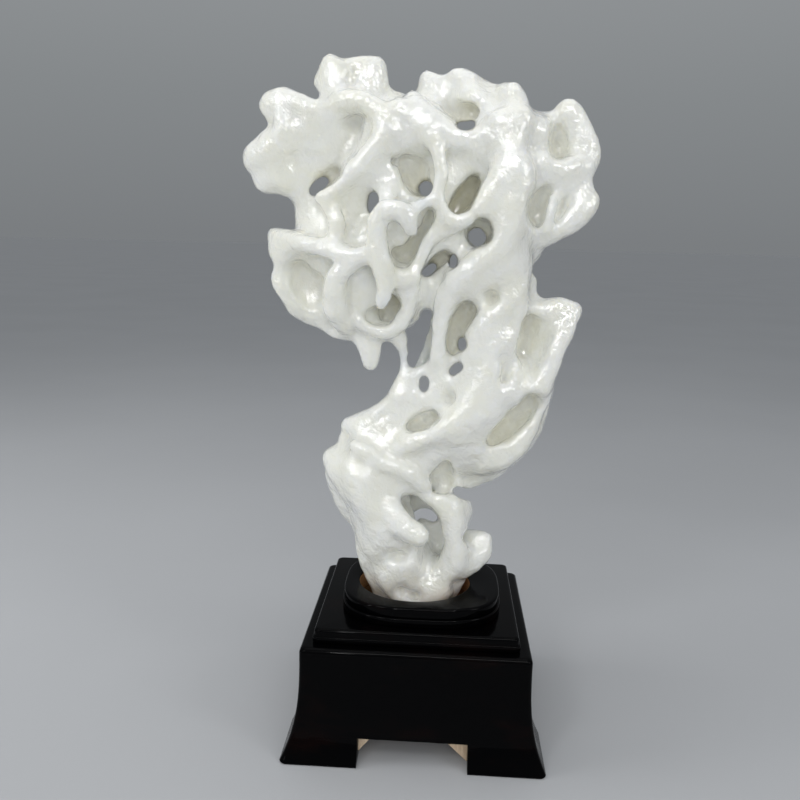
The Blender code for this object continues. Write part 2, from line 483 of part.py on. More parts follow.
def body_profile():
    """Steps of (outward offset, height) up the side of the body."""
    levels = (TOE_EDGE, 4.0, 8.0, 12.0, 17.0, 23.0, 31.0, 42.0, BODY_HEIGHT - BODY_EDGE)
    steps = [(flare(0.0) - TOE_EDGE, 0.0), *((flare(z), z) for z in levels)]
    for angle in (30.0, 60.0, 90.0):
        turn = math.radians(angle)
        steps.append((BODY_EDGE * (math.cos(turn) - 1.0),
                      BODY_HEIGHT - BODY_EDGE + BODY_EDGE * math.sin(turn)))
    return steps


def arch_size(turned):
    """Width of an arch and the body's size along it."""
    return (ARCH_WIDTH_SIDE, BODY_WIDTH) if turned else (ARCH_WIDTH_FRONT, BODY_DEPTH)


def passage_bmesh(turned):
    """The passage between two opposite arches, with haunches left in its upper corners."""
    width, span = arch_size(turned)
    half, far = width / 2, span / 2 + 2 * BODY_FLARE
    bm = bmesh.new()
    add_box(bm, (-half, -far, -5.0), (half, far, ARCH_HEIGHT))
    right = (HAUNCH_LEFT, HAUNCH_LEFT_DROP) if turned else (HAUNCH_RIGHT, HAUNCH_RIGHT_DROP)
    for side, (length, drop) in ((-1.0, (HAUNCH_LEFT, HAUNCH_LEFT_DROP)), (1.0, right)):
        chamfer = bmesh.ops.bisect_plane(
            bm, geom=[*bm.verts, *bm.edges, *bm.faces], clear_outer=True,
            plane_co=(side * (half - length), 0.0, ARCH_HEIGHT),
            plane_no=(side * drop, 0.0, length))
        edges = [part for part in chamfer["geom_cut"] if isinstance(part, bmesh.types.BMEdge)]
        bmesh.ops.holes_fill(bm, edges=edges)
    return bm


def slot_bmesh(turned):
    """The plain slots at both faces, which stop at the haunches behind the face."""
    width, span = arch_size(turned)
    half, far = width / 2, span / 2 + 2 * BODY_FLARE
    step = span / 2 + flare(ARCH_HEIGHT) - ARCH_SETBACK
    bm = bmesh.new()
    for near, outer in ((-far, -step), (step, far)):
        add_box(bm, (-half, near, -5.0), (half, outer, ARCH_HEIGHT))
    return bm


def build_body(collection, cutters, lacquer, root):
    """The flared body on four bracket feet, hollow underneath."""
    bm = profiled_block(BODY_WIDTH, BODY_DEPTH, BODY_CORNER, body_profile())
    body = make_object("stand_body", bm, collection, lacquer, root)

    bm = bmesh.new()
    half_x, half_y = BODY_WIDTH / 2 - WALL, BODY_DEPTH / 2 - WALL
    add_box(bm, (-half_x, -half_y, -5.0), (half_x, half_y, BODY_HEIGHT - TOP_BOARD))
    cut(body, make_cutter("cut_underside", bm, cutters, root))

    for turned, where in ((False, "front_back"), (True, "sides")):
        for name, bm in (("passage", passage_bmesh(turned)), ("slots", slot_bmesh(turned))):
            cutter = make_cutter(f"cut_{name}_{where}", bm, cutters, root)
            cutter.rotation_euler.z = math.radians(90.0 if turned else 0.0)
            cut(body, cutter)
    return body


def build_plate(collection, cutters, lacquer, root):
    """The stepped plate on the body, with the socket through it."""
    base = BODY_HEIGHT + GAP
    steps = (
        (PLATE_LIP - 0.5, base), (PLATE_LIP, base + 0.7), (PLATE_LIP, base + 2.9),
        (PLATE_LIP - 0.6, base + 3.7), (0.0, base + 4.0), (0.0, PLATE_TOP - 1.8),
        (-0.5, PLATE_TOP - 0.6), (-1.8, PLATE_TOP))
    bm = profiled_block(
        BODY_WIDTH - 2 * PLATE_INSET, BODY_DEPTH - 2 * PLATE_INSET, PLATE_CORNER, steps)
    plate = make_object("step_plate", bm, collection, lacquer, root)

    bm = bmesh.new()
    bmesh.ops.create_cone(
        bm, cap_ends=True, segments=OVAL_STEPS, radius1=1.0, radius2=1.0, depth=30.0)
    bmesh.ops.scale(bm, vec=(*SOCKET_HALF, 1.0), verts=bm.verts)
    bmesh.ops.translate(bm, vec=(*SOCKET_CENTRE, PLATE_TOP), verts=bm.verts)
    cut(plate, make_cutter("cut_socket", bm, cutters, root))
    return plate


def build_collar(collection, lacquer, root):
    """The oval collar: two bands with a groove between them, round the socket.

    Its section is turned into a plain ring first, whose outer and inner walls are then
    pressed into the collar's oval and the socket's oval.
    """
    base = PLATE_TOP + GAP
    groove = COLLAR_TOP - COLLAR_BAND
    outer_wall = (
        (0.2, base), (0.8, base + 0.6), (0.8, groove - 1.0), (0.3, groove - 0.3),
        (-COLLAR_GROOVE, groove), (0.0, groove + 0.8), (0.0, COLLAR_TOP - 1.5),
        (-0.5, COLLAR_TOP - 0.4), (-1.6, COLLAR_TOP))
    inner_wall = ((0.6, COLLAR_TOP), (0.0, COLLAR_TOP - 0.6), (0.0, base))
    inner, outer = SOCKET_HALF[0], COLLAR_HALF[0]
    bm = bmesh.new()
    section = [bm.verts.new((outer + out, 0.0, z)) for out, z in outer_wall]
    section += [bm.verts.new((inner + out, 0.0, z)) for out, z in inner_wall]
    edges = [bm.edges.new(pair) for pair in zip(section, section[1:] + section[:1])]
    bmesh.ops.spin(
        bm, geom=section + edges, cent=(0.0, 0.0, 0.0), axis=(0.0, 0.0, 1.0),
        angle=math.tau, steps=OVAL_STEPS, use_merge=True)
    for vert in bm.verts:
        radius, angle = math.hypot(vert.co.x, vert.co.y), math.atan2(vert.co.y, vert.co.x)
        if radius > (inner + outer) / 2:
            out, centre, half, power = radius - outer, COLLAR_CENTRE, COLLAR_HALF, COLLAR_POWER
        else:
            out, centre, half, power = radius - inner, SOCKET_CENTRE, SOCKET_HALF, 2.0
        vert.co.xy = oval_reach(angle, centre, (half[0] + out, half[1] + out), power)
    return make_object("collar", bm, collection, lacquer, root)


# ---------------------------------------------------------------------------------- stone
def view_axes():
    """Right, up and forward directions of the front view."""
    yaw, pitch, roll = (math.radians(a) for a in (VIEW_YAW, VIEW_PITCH, VIEW_ROLL))
    forward = Vector((
        math.sin(yaw) * math.cos(pitch), math.cos(yaw) * math.cos(pitch), -math.sin(pitch)))
    level = Vector((math.cos(yaw), -math.sin(yaw), 0.0))
    upright = level.cross(forward)
    right = math.cos(roll) * level + math.sin(roll) * upright
    up = math.cos(roll) * upright - math.sin(roll) * level
    return right, up, forward


RIGHT, UP, FORWARD = view_axes()


def place(u, v, radius, depth):
    """Turn a place on the front view into (centre, radius) in mm."""
    ray = (FORWARD + RIGHT * (u - VIEW_MIDDLE[0]) / VIEW_SQUARES
           - UP * (v - VIEW_MIDDLE[1]) / VIEW_SQUARES)
    reach = (depth - VIEW_POINT.y) / ray.y
    return VIEW_POINT + ray * reach, radius * reach / VIEW_SQUARES


def add_ball(bm, ball):
    """Add a ball given as (centre, radius)."""
    centre, radius = ball
    bmesh.ops.create_icosphere(
        bm, subdivisions=2, radius=radius, matrix=Matrix.Translation(centre))


def add_bar(bm, start, end):
    """Add the round bar between two balls."""
    (a, radius_a), (b, radius_b) = start, end
    along = b - a
    if along.length < 0.01:
        return
    turn = along.to_track_quat("Z", "Y").to_matrix().to_4x4()
    bmesh.ops.create_cone(
        bm, cap_ends=True, segments=16, radius1=radius_a, radius2=radius_b,
        depth=along.length, matrix=Matrix.Translation((a + b) / 2) @ turn)


def chains_bmesh(chains):
    """Every chain of stone, still as overlapping balls and bars."""
    bm = bmesh.new()
    for chain in chains.values():
        balls = [place(u, v, radius, depth) for u, v, depth, radius in chain]
        for ball in balls:
            add_ball(bm, ball)
        for start, end in zip(balls, balls[1:]):
            add_bar(bm, start, end)
    return bm


def hollows_bmesh(hollows):
    """Every hollow: bars from the mouth to the floor, joined along each chain."""
    bm = bmesh.new()
    for mouth, floor, widening, places in hollows.values():
        tops = [place(u, v, radius, mouth) for u, v, radius in places]
        bottoms = [place(u, v, radius * widening, floor) for u, v, radius in places]
        for top, bottom in zip(tops, bottoms):
            add_ball(bm, top)
            add_ball(bm, bottom)
            add_bar(bm, top, bottom)
        for row in (tops, bottoms):
            for start, end in zip(row, row[1:]):
                add_bar(bm, start, end)
    return bm


def fuse(item):
    """Melt overlapping solids into one skin."""
    remesh = item.modifiers.new("fuse", "REMESH")
    remesh.mode = "VOXEL"
    remesh.voxel_size = STONE_VOXEL * MM


def swell(item, amount):
    """Push a skin outwards by an amount in mm, or inwards if it is below zero."""
    push = item.modifiers.new("swell", "DISPLACE")
    push.strength = amount * MM
    push.mid_level = 0.0


def soften(item, rounds):
    """Round an object's edges off."""
    smooth = item.modifiers.new("soften", "SMOOTH")
    smooth.factor = 0.5
    smooth.iterations = rounds


def keep_largest_body(bm):
    """Delete loose crumbs, so one body is left."""
    left = set(bm.verts)
    bodies = []
    while left:
        body, edge = set(), [left.pop()]
        while edge:
            vert = edge.pop()
            body.add(vert)
            for link in vert.link_edges:
                other = link.other_vert(vert)
                if other in left:
                    left.remove(other)
                    edge.append(other)
        bodies.append(body)
    bodies.sort(key=len)
    crumbs = [vert for body in bodies[:-1] for vert in body]
    bmesh.ops.delete(bm, geom=crumbs, context="VERTS")


def fit_in_socket(bm):
    """Level the foot's underside and keep its sides clear of the socket's wall."""
    cut_plane = bmesh.ops.bisect_plane(
        bm, geom=[*bm.verts, *bm.edges, *bm.faces], plane_co=(0.0, 0.0, STONE_FLOOR * MM),
        plane_no=(0.0, 0.0, -1.0), clear_outer=True)
    edges = [part for part in cut_plane["geom_cut"] if isinstance(part, bmesh.types.BMEdge)]
    bmesh.ops.holes_fill(bm, edges=edges)
    centre = Vector((*SOCKET_CENTRE, 0.0)) * MM
    rim = (COLLAR_TOP + STONE_CLEARANCE) * MM
    for vert in bm.verts:
        above = max(0.0, vert.co.z - rim)
        if above < SOCKET_TAPER * MM:
            offset = vert.co - centre
            room = [(half - STONE_CLEARANCE) * MM + above for half in SOCKET_HALF]
            reach = math.hypot(offset.x / room[0], offset.y / room[1])
            if reach > 1.0:
                vert.co.x = centre.x + offset.x / reach
                vert.co.y = centre.y + offset.y / reach


def build_stone(collection, cutters, jade, root):
    """Carve the stone: fuse limbs, take out hollows, lay on ridges, cut windows and soften all."""
    rough = make_object("rough_stone", chains_bmesh(LIMBS), cutters)
    hollows = make_cutter("cut_hollows", hollows_bmesh(HOLLOWS), cutters)
    windows = make_cutter("cut_windows", hollows_bmesh(WINDOWS), cutters)
    ridges = make_object("laid_ridges", chains_bmesh(RIDGES), cutters)
    fuse(rough)
    swell(rough, STONE_CLOSE)
    fuse(rough)
    swell(rough, -STONE_CLOSE)
    fuse(rough)
    for helper in (hollows, windows, ridges):
        fuse(helper)
    cut(rough, hollows)
    fuse(rough)
    soften(rough, STONE_SOFTEN_RIMS)
    swell(rough, STONE_PLUMP)
    lay = rough.modifiers.new("lay_ridges", "BOOLEAN")
    lay.operation = "UNION"
    lay.solver = "EXACT"
    lay.object = ridges
    cut(rough, windows)
    fuse(rough)
    soften(rough, STONE_SOFTEN)

    carved = bpy.data.meshes.new_from_object(
        rough.evaluated_get(bpy.context.evaluated_depsgraph_get()))
    for helper in (rough, hollows, windows, ridges):
        bpy.data.objects.remove(helper, do_unlink=True)
    carved.materials.clear()
    carved.materials.append(jade)
    stone = bpy.data.objects.new("stone", carved)
    collection.objects.link(stone)

    thin = stone.modifiers.new("facets", "DECIMATE")
    thin.ratio = STONE_TRIANGLES / (2.0 * len(carved.polygons))
    thin.use_collapse_triangulate = True
    facets = bpy.data.meshes.new_from_object(
        stone.evaluated_get(bpy.context.evaluated_depsgraph_get()))
    stone.modifiers.clear()
    bm = bmesh.new()
    bm.from_mesh(facets)
    keep_largest_body(bm)
    fit_in_socket(bm)
    bmesh.ops.triangulate(bm, faces=bm.faces)
    bmesh.ops.recalc_face_normals(bm, faces=bm.faces)
    bm.to_mesh(facets)
    bm.free()
    stone.data = facets
    facets.name = "stone"
    stone.parent = root
    return stone


# ----------------------------------------------------------------------------------- main
def main():
    """Build the whole object under one empty on the stand's axis."""
    clear_scene()
    pieces = make_collection(NAME)
    cutters = make_collection("cutters")
    root = bpy.data.objects.new(NAME, None)
    root.location = (STAND_AXIS_X * MM, 0.0, 0.0)
    pieces.objects.link(root)

    jade = make_material("white_stone", (0.84, 0.86, 0.82), 0.14)
    lacquer = make_material("black_lacquer", (0.006, 0.005, 0.005), 0.08)

    build_body(pieces, cutters, lacquer, root)
    build_plate(pieces, cutters, lacquer, root)
    build_collar(pieces, lacquer, root)
    build_stone(pieces, cutters, jade, root)


main()
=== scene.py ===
"""Milky white scholar's rock in its black lacquered stand, finished for display.

The stone is modelled the way a carver works. Limbs of stone are laid out as chains of balls and
bars and melted into one rough, the hollows are taken out of it, every edge is softened and the
skin is left with the faint waves of hand polishing. The stand is turned, sawn and lacquered wood:
a flared body on bracket feet, a stepped plate and an oval two-band collar whose bare wooden
socket holds the stone's foot.

Sizes are millimetres unless a name or a docstring says metres. The front is -Y, +Z is up and the
origin lies on the table under the middle of the whole object.
"""

from __future__ import annotations

import logging
import math
from dataclasses import dataclass
from enum import Enum

import bmesh
import bpy
import numpy as np
from mathutils import Matrix, Vector
from mathutils.bvhtree import BVHTree


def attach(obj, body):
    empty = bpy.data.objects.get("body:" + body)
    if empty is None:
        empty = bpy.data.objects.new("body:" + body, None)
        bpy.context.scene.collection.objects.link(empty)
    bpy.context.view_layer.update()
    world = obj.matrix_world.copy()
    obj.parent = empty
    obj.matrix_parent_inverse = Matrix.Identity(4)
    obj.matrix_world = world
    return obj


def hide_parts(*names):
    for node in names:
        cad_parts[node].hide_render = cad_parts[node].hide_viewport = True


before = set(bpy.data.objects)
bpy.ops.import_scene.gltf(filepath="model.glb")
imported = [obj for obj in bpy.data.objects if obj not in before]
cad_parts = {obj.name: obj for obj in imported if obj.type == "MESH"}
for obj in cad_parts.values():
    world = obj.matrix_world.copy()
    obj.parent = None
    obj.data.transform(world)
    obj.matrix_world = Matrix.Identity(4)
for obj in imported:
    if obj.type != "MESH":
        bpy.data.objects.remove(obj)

LOG = logging.getLogger("scholars_rock")
MM = 0.001

AXIS_X = 6.5                        # the stand's axis, to the right of the origin, in mm
VIEWPOINT = (9.8, -464.9, 290.8)    # point of the front view, from the stand's axis, in mm
TOUCH = 0.01                        # lengths under this, in mm, count as none

Item = bpy.types.Object
Wire = bpy.types.NodeSocket
BMesh = bmesh.types.BMesh
Pair = tuple[float, float]
Triple = tuple[float, float, float]
Place = tuple[float, float, float, float]
Hollow = tuple[float, float, float, tuple[Triple, ...]]
Ball = tuple[Vector, float]

# Chains of stone. A place is (u, v, depth, radius): u counts to the right and v downwards in
# squares of the front view, depth is the distance behind the stand's axis in mm (minus is nearer
# the front) and the radius is in squares too.
LIMBS: dict[str, tuple[Place, ...]] = {
    # Crown and horns along the top
    "crown_left": ((331, 66, -4, 12), (335, 84, -4, 16), (343, 102, -2, 19)),
    "crown_right": ((374, 68, 2, 13), (372, 86, 2, 16), (362, 104, 0, 19)),
    "crown_bump": ((318, 81, -1, 7.5), (325, 90, 0, 9)),
    "crown_fill": ((352, 74, 0, 14.5), (363, 72, 0, 14.5), (352, 98, 0, 22)),
    "horn": ((273, 105, -8, 14.5), (284, 102, -8, 15.5), (302, 112, -6, 17),
        (335, 118, -4, 19)),
    "saddle_bump": ((397, 98, 6, 8), (400, 108, 4, 12)),
    "left_bulge": ((258, 158, -4, 16), (275, 150, -6, 20), (300, 138, -6, 20)),
    "left_bulge_low": ((267, 180, -2, 14), (280, 175, -4, 18), (300, 180, 0, 16)),
    "top_knob_back": ((427, 79, 8, 9), (431, 96, 6, 14)),
    "top_peak": ((455, 76, 2, 9), (466, 78, 0, 9), (470, 98, -4, 14), (478, 112, -8, 14)),
    "top_left_front": ((412, 98, -12, 9), (418, 112, -18, 12), (440, 132, -20, 12),
        (465, 140, -20, 12)),
    "top_bulge": ((448, 139, -17, 11), (462, 143, -17, 12), (476, 139, -17, 11)),
    "crest": ((466, 78, 2, 9), (484, 92, 4, 9), (500, 97, 2, 11), (512, 92, -8, 11),
        (516, 106, -10, 13)),
    "front_top": ((512, 95, -10, 11), (520, 118, -14, 14), (500, 125, -20, 14)),
    "long_pit_bed": ((466, 150, -10, 17), (486, 150, -12, 16), (500, 160, -12, 14)),
    # Body of the head, behind the ridges
    "core_a": ((308, 152, 5, 30), (350, 142, 6, 38), (400, 142, 6, 42), (450, 140, 6, 40),
        (500, 142, 5, 42)),
    "core_b": ((303, 166, 7, 24), (322, 205, 7, 26), (330, 242, 6, 36), (322, 272, 5, 34)),
    "core_c": ((350, 190, 6, 40), (400, 190, 6, 46), (450, 190, 6, 46)),
    "core_d": ((350, 240, 6, 42), (400, 240, 6, 46), (450, 240, 6, 44)),
    "core_e": ((325, 288, 5, 32), (362, 294, 5, 38), (400, 288, 5, 40), (425, 280, 7, 36)),
    "core_f": ((500, 150, 5, 42), (530, 150, 7, 38), (555, 162, 9, 24)),
    "core_g": ((500, 190, 6, 44), (530, 195, 7, 40), (555, 208, 7, 26)),
    "core_h": ((490, 235, 6, 42), (512, 237, 7, 34)),
    "core_i": ((492, 262, 6, 36), (497, 290, 6, 30), (498, 320, 6, 30)),
    "throat_front": ((512, 215, -12, 26), (505, 238, -13, 26), (502, 262, -13, 26),
        (486, 276, -16, 20), (470, 288, -17, 14)),
    "throat_side": ((508, 285, -10, 22), (498, 296, -12, 20), (486, 296, -14, 15)),
    # Ridges that stand out on the left of the head
    "rim_a_top": ((320, 120, -8, 8), (329, 109, -13, 8.5), (342, 100, -17, 9),
        (358, 98, -19, 9), (373, 104, -21, 9.5), (385, 117, -23, 10.5)),
    "rim_a": ((385, 117, -23, 10.5), (386, 132, -24, 10.5), (374, 150, -25, 10),
        (352, 170, -24, 10), (333, 186, -22, 10), (324, 197, -18, 10)),
    "brow_left": ((396, 122, -14, 19), (410, 132, -15, 18), (422, 136, -14, 18),
        (400, 138, -14, 13)),
    "cheek_fill": ((367, 172, -12, 19), (353, 190, -10, 15), (380, 160, -15, 14),
        (384, 178, -15, 13), (372, 190, -10, 10)),
    "cheek_bed": ((362, 272, -13, 15), (360, 292, -13, 15)),
    "wall_mid": ((388, 130, -20, 14), (386, 160, -16, 12), (387, 184, -19, 9),
        (387, 204, -26, 9)),
    "ridge_left": ((274, 234, -6, 7.5), (287, 240, -14, 11), (303, 243, -22, 9),
        (330, 249, -25, 9), (350, 258, -27, 9), (372, 254, -28, 9)),
    "left_lobe_low": ((280, 252, -10, 12), (300, 262, -10, 14)),
    "left_edge": ((278, 276, -8, 9), (284, 286, -8, 11), (300, 300, -6, 13),
        (325, 312, -2, 14), (345, 322, 0, 14)),
    "left_bumps": ((293, 308, -6, 7.5), (303, 313, -4, 8.5), (318, 318, -4, 10),
        (338, 328, -4, 10), (348, 330, -4, 10)),
    "e_rim": ((362, 318, -16, 12), (385, 332, -16, 9), (400, 322, -16, 9),
        (406, 305, -18, 9), (410, 290, -20, 10)),
    # Ridges in the middle and on the right of the head
    "ridge_mid": ((384, 268, -27, 8), (398, 281, -25, 7.5), (411, 277, -25, 7.5),
        (424, 267, -23, 7)),
    "ridge_join": ((446, 214, -14, 11), (440, 206, -16, 9), (455, 220, -14, 9),
        (446, 228, -18, 9)),
    "knob_right": ((568, 111, 2, 12.5), (575, 122, 2, 13), (586, 142, 0, 13),
        (589, 158, 0, 12.5), (580, 174, -4, 13.5), (565, 180, -6, 14)),
    "knob_right_wall": ((540, 128, -10, 12), (543, 145, -14, 9), (546, 160, -14, 10),
        (562, 170, -12, 11), (578, 168, -6, 12)),
    "lobe_right": ((589, 201, -6, 12), (578, 213, -8, 14.5), (560, 223, -8, 15),
        (545, 232, -6, 14)),
    "lobe_right_fill": ((556, 204, -6, 15), (570, 200, -5, 14), (582, 196, -4, 12)),
    "front_ridge_a": ((520, 120, -18, 13), (508, 150, -22, 14), (503, 175, -25, 14),
        (487, 200, -26, 12), (474, 216, -26, 10)),
    "front_ridge_b": ((515, 170, -22, 20), (514, 205, -24, 19), (506, 232, -24, 16),
        (496, 252, -24, 14), (474, 266, -24, 13), (456, 280, -22, 12), (446, 298, -20, 10),
        (441, 318, -18, 8.5), (440, 338, -16, 8), (436, 358, -13, 8)),
    # Column that swings out to the right under the head
    "column_upper": ((452, 296, -2, 24), (455, 325, -1, 22), (452, 350, 0, 19),
        (470, 372, -2, 24)),
    "column_ridge": ((520, 262, -12, 12), (515, 285, -15, 14), (503, 303, -17, 15),
        (488, 322, -17, 15), (478, 337, -17, 13), (473, 353, -16, 12), (470, 370, -14, 12)),
    "column_core": ((500, 325, 0, 28), (495, 360, 0, 32), (490, 395, 0, 38),
        (480, 420, 0, 38), (450, 440, 0, 34), (410, 442, 0, 30), (378, 455, 0, 30)),
    "bay_folds": ((533, 280, 2, 6), (529, 291, 2, 6.5), (534, 305, 2, 7)),
    "ear_top": ((573, 311, -4, 10), (560, 309, -4, 13), (545, 315, -2, 15),
        (530, 320, -2, 18)),
    "ear_rim": ((573, 311, -6, 9), (565, 332, -10, 9), (556, 350, -12, 9),
        (550, 368, -12, 10), (540, 386, -14, 11), (522, 398, -16, 12)),
    "ear_core": ((540, 330, 6, 20), (532, 355, 6, 24), (522, 380, 4, 26)),
    "ear_left": ((517, 300, -16, 11), (520, 322, -17, 8), (519, 338, -17, 7),
        (512, 352, -18, 9), (500, 362, -20, 11)),
    "wing": ((543, 384, 6, 11), (538, 402, 7, 12), (528, 424, 8, 15), (516, 440, 8, 17),
        (502, 453, 6, 17), (482, 458, 4, 16), (462, 460, 0, 15)),
    "wing_rim": ((545, 386, -6, 9), (538, 404, -6, 9), (530, 425, -7, 9.5),
        (517, 445, -8, 11), (500, 458, -8, 13), (480, 462, -8, 12)),
    "wing_lumps": ((470, 477, 4, 10), (484, 474, 4, 9), (496, 466, 4, 10)),
    "column_front": ((490, 372, -18, 14), (482, 395, -20, 14), (470, 412, -21, 12),
        (450, 426, -21, 11), (425, 437, -21, 8), (405, 444, -20, 9)),
    "column_face": ((488, 322, -12, 22), (495, 350, -12, 26), (492, 380, -12, 28),
        (478, 405, -12, 28), (455, 425, -12, 24), (430, 436, -12, 16)),
    # Neck and shoulder over the foot
    "shoulder": ((350, 425, -4, 10), (362, 423, -5, 11.5), (380, 416, -6, 12),
        (398, 402, -6, 12)),
    "shoulder_fill": ((365, 432, -4, 14), (390, 425, -4, 18), (410, 412, -4, 14)),
    "bridge_low": ((404, 380, -8, 8), (416, 372, -8, 6.5), (432, 370, -8, 8),
        (445, 376, -8, 9)),
    "bridge_body": ((408, 398, -8, 11), (425, 400, -9, 10), (440, 392, -9, 11),
        (462, 385, -8, 14)),
    "bridge_fill": ((406, 390, -8, 9), (417, 394, -8, 7), (430, 388, -8, 7.5),
        (438, 380, -8, 8)),
    "lobe_left_low": ((333, 458, -6, 11), (345, 468, -8, 19), (362, 482, -8, 24)),
    "lobe_left_back": ((346, 437, 0, 8), (352, 446, 0, 11)),
    "lobe_left_outer": ((334, 474, 2, 10), (343, 494, 5, 11), (351, 508, 8, 11.5),
        (359, 521, 6, 8.5), (368, 536, 2, 11)),
    "low_fill": ((366, 442, -8, 17), (382, 450, -9, 18), (400, 456, -9, 18),
        (416, 462, -8, 16)),
    "low_core": ((375, 475, -4, 34), (380, 505, -4, 30), (388, 535, -4, 30),
        (402, 565, -2, 30)),
    "low_face": ((360, 470, -14, 22), (372, 495, -15, 22), (384, 520, -16, 20),
        (396, 545, -15, 20), (404, 570, -12, 20)),
    "lobe_face": ((346, 470, -11, 15), (364, 474, -14, 17), (384, 481, -15, 17),
        (400, 486, -14, 12)),
    # Foot that stands in the socket
    "foot_back_wall": ((402, 498, 18, 14), (418, 494, 20, 14), (434, 498, 22, 12),
        (440, 530, 16, 14)),
    "pillar_top": ((426, 480, -10, 13), (438, 482, -8, 14), (452, 492, -5, 12)),
    "pillar": ((428, 490, -12, 12), (440, 497, -12, 13), (449, 508, -12, 13),
        (454, 524, -13, 12), (456, 540, -13, 12), (455, 556, -12, 13), (448, 572, -10, 15)),
    "pillar_bump": ((457, 500, -4, 14), (459, 512, -4, 14), (457, 524, -6, 11)),
    "pillar_back": ((430, 462, 16, 14), (448, 476, 14, 13), (440, 490, 12, 12)),
    "base_lobe": ((470, 538, 4, 10), (482, 538, 2, 8), (488, 537, 2, 5.5), (486, 546, 1, 7),
        (481, 553, 0, 11), (468, 560, -4, 14), (452, 567, -8, 16)),
    "base_left": ((370, 548, -2, 14), (378, 568, -2, 14), (387, 588, -2, 14),
        (394, 604, -2, 14)),
    "base_right": ((446, 570, -8, 13), (436, 585, -8, 13), (425, 600, -6, 14)),
    "base_core": ((405, 560, 0, 28), (412, 585, 0, 26), (412, 610, 0, 26)),
    "base_wall_r": ((455, 575, 0, 12), (445, 590, 0, 13), (432, 606, 0, 14)),
    "base_front": ((395, 572, -12, 20), (410, 592, -11, 20), (430, 592, -11, 18),
        (442, 582, -10, 16)),
    "base_back": ((412, 572, 14, 20), (412, 604, 12, 20)),
    "back_wall_low": ((430, 510, 16, 12), (440, 545, 14, 14), (440, 575, 10, 16)),
    # Back of the stone
    "knob_right_back": ((560, 130, 10, 12), (562, 150, 10, 14)),
    "crest_back": ((440, 90, 8, 12), (462, 86, 10, 12), (482, 94, 10, 12), (470, 112, 6, 14)),
    "back_a": ((318, 158, 24, 24), (360, 130, 30, 26), (410, 140, 34, 30), (462, 150, 34, 28)),
    "back_b": ((500, 168, 32, 32), (540, 178, 24, 26)),
    "back_c": ((340, 232, 26, 28), (390, 250, 32, 30), (440, 226, 34, 32), (484, 240, 28, 28)),
    "back_d": ((330, 280, 20, 24), (370, 292, 26, 24), (410, 270, 26, 26)),
    "back_e": ((500, 300, 22, 24), (504, 350, 24, 26), (490, 400, 24, 28), (450, 435, 20, 26)),
    "back_f": ((400, 450, 20, 24), (375, 480, 20, 24), (390, 530, 18, 22), (410, 570, 12, 22)),
    "back_lump_left": ((352, 160, 46, 16), (372, 188, 44, 14), (366, 214, 40, 12)),
    "back_lump_top": ((430, 104, 26, 18), (452, 128, 44, 17), (490, 140, 46, 15)),
    "back_lump_right": ((520, 200, 42, 16), (500, 222, 44, 15)),
    "back_lump_heart": ((420, 196, 50, 15), (412, 222, 50, 14), (430, 250, 46, 12)),
    "back_lump_low": ((492, 330, 42, 14), (510, 372, 38, 13), (486, 420, 38, 13)),
    "back_lump_base": ((372, 470, 36, 13), (388, 505, 34, 12), (408, 545, 28, 12)),
}

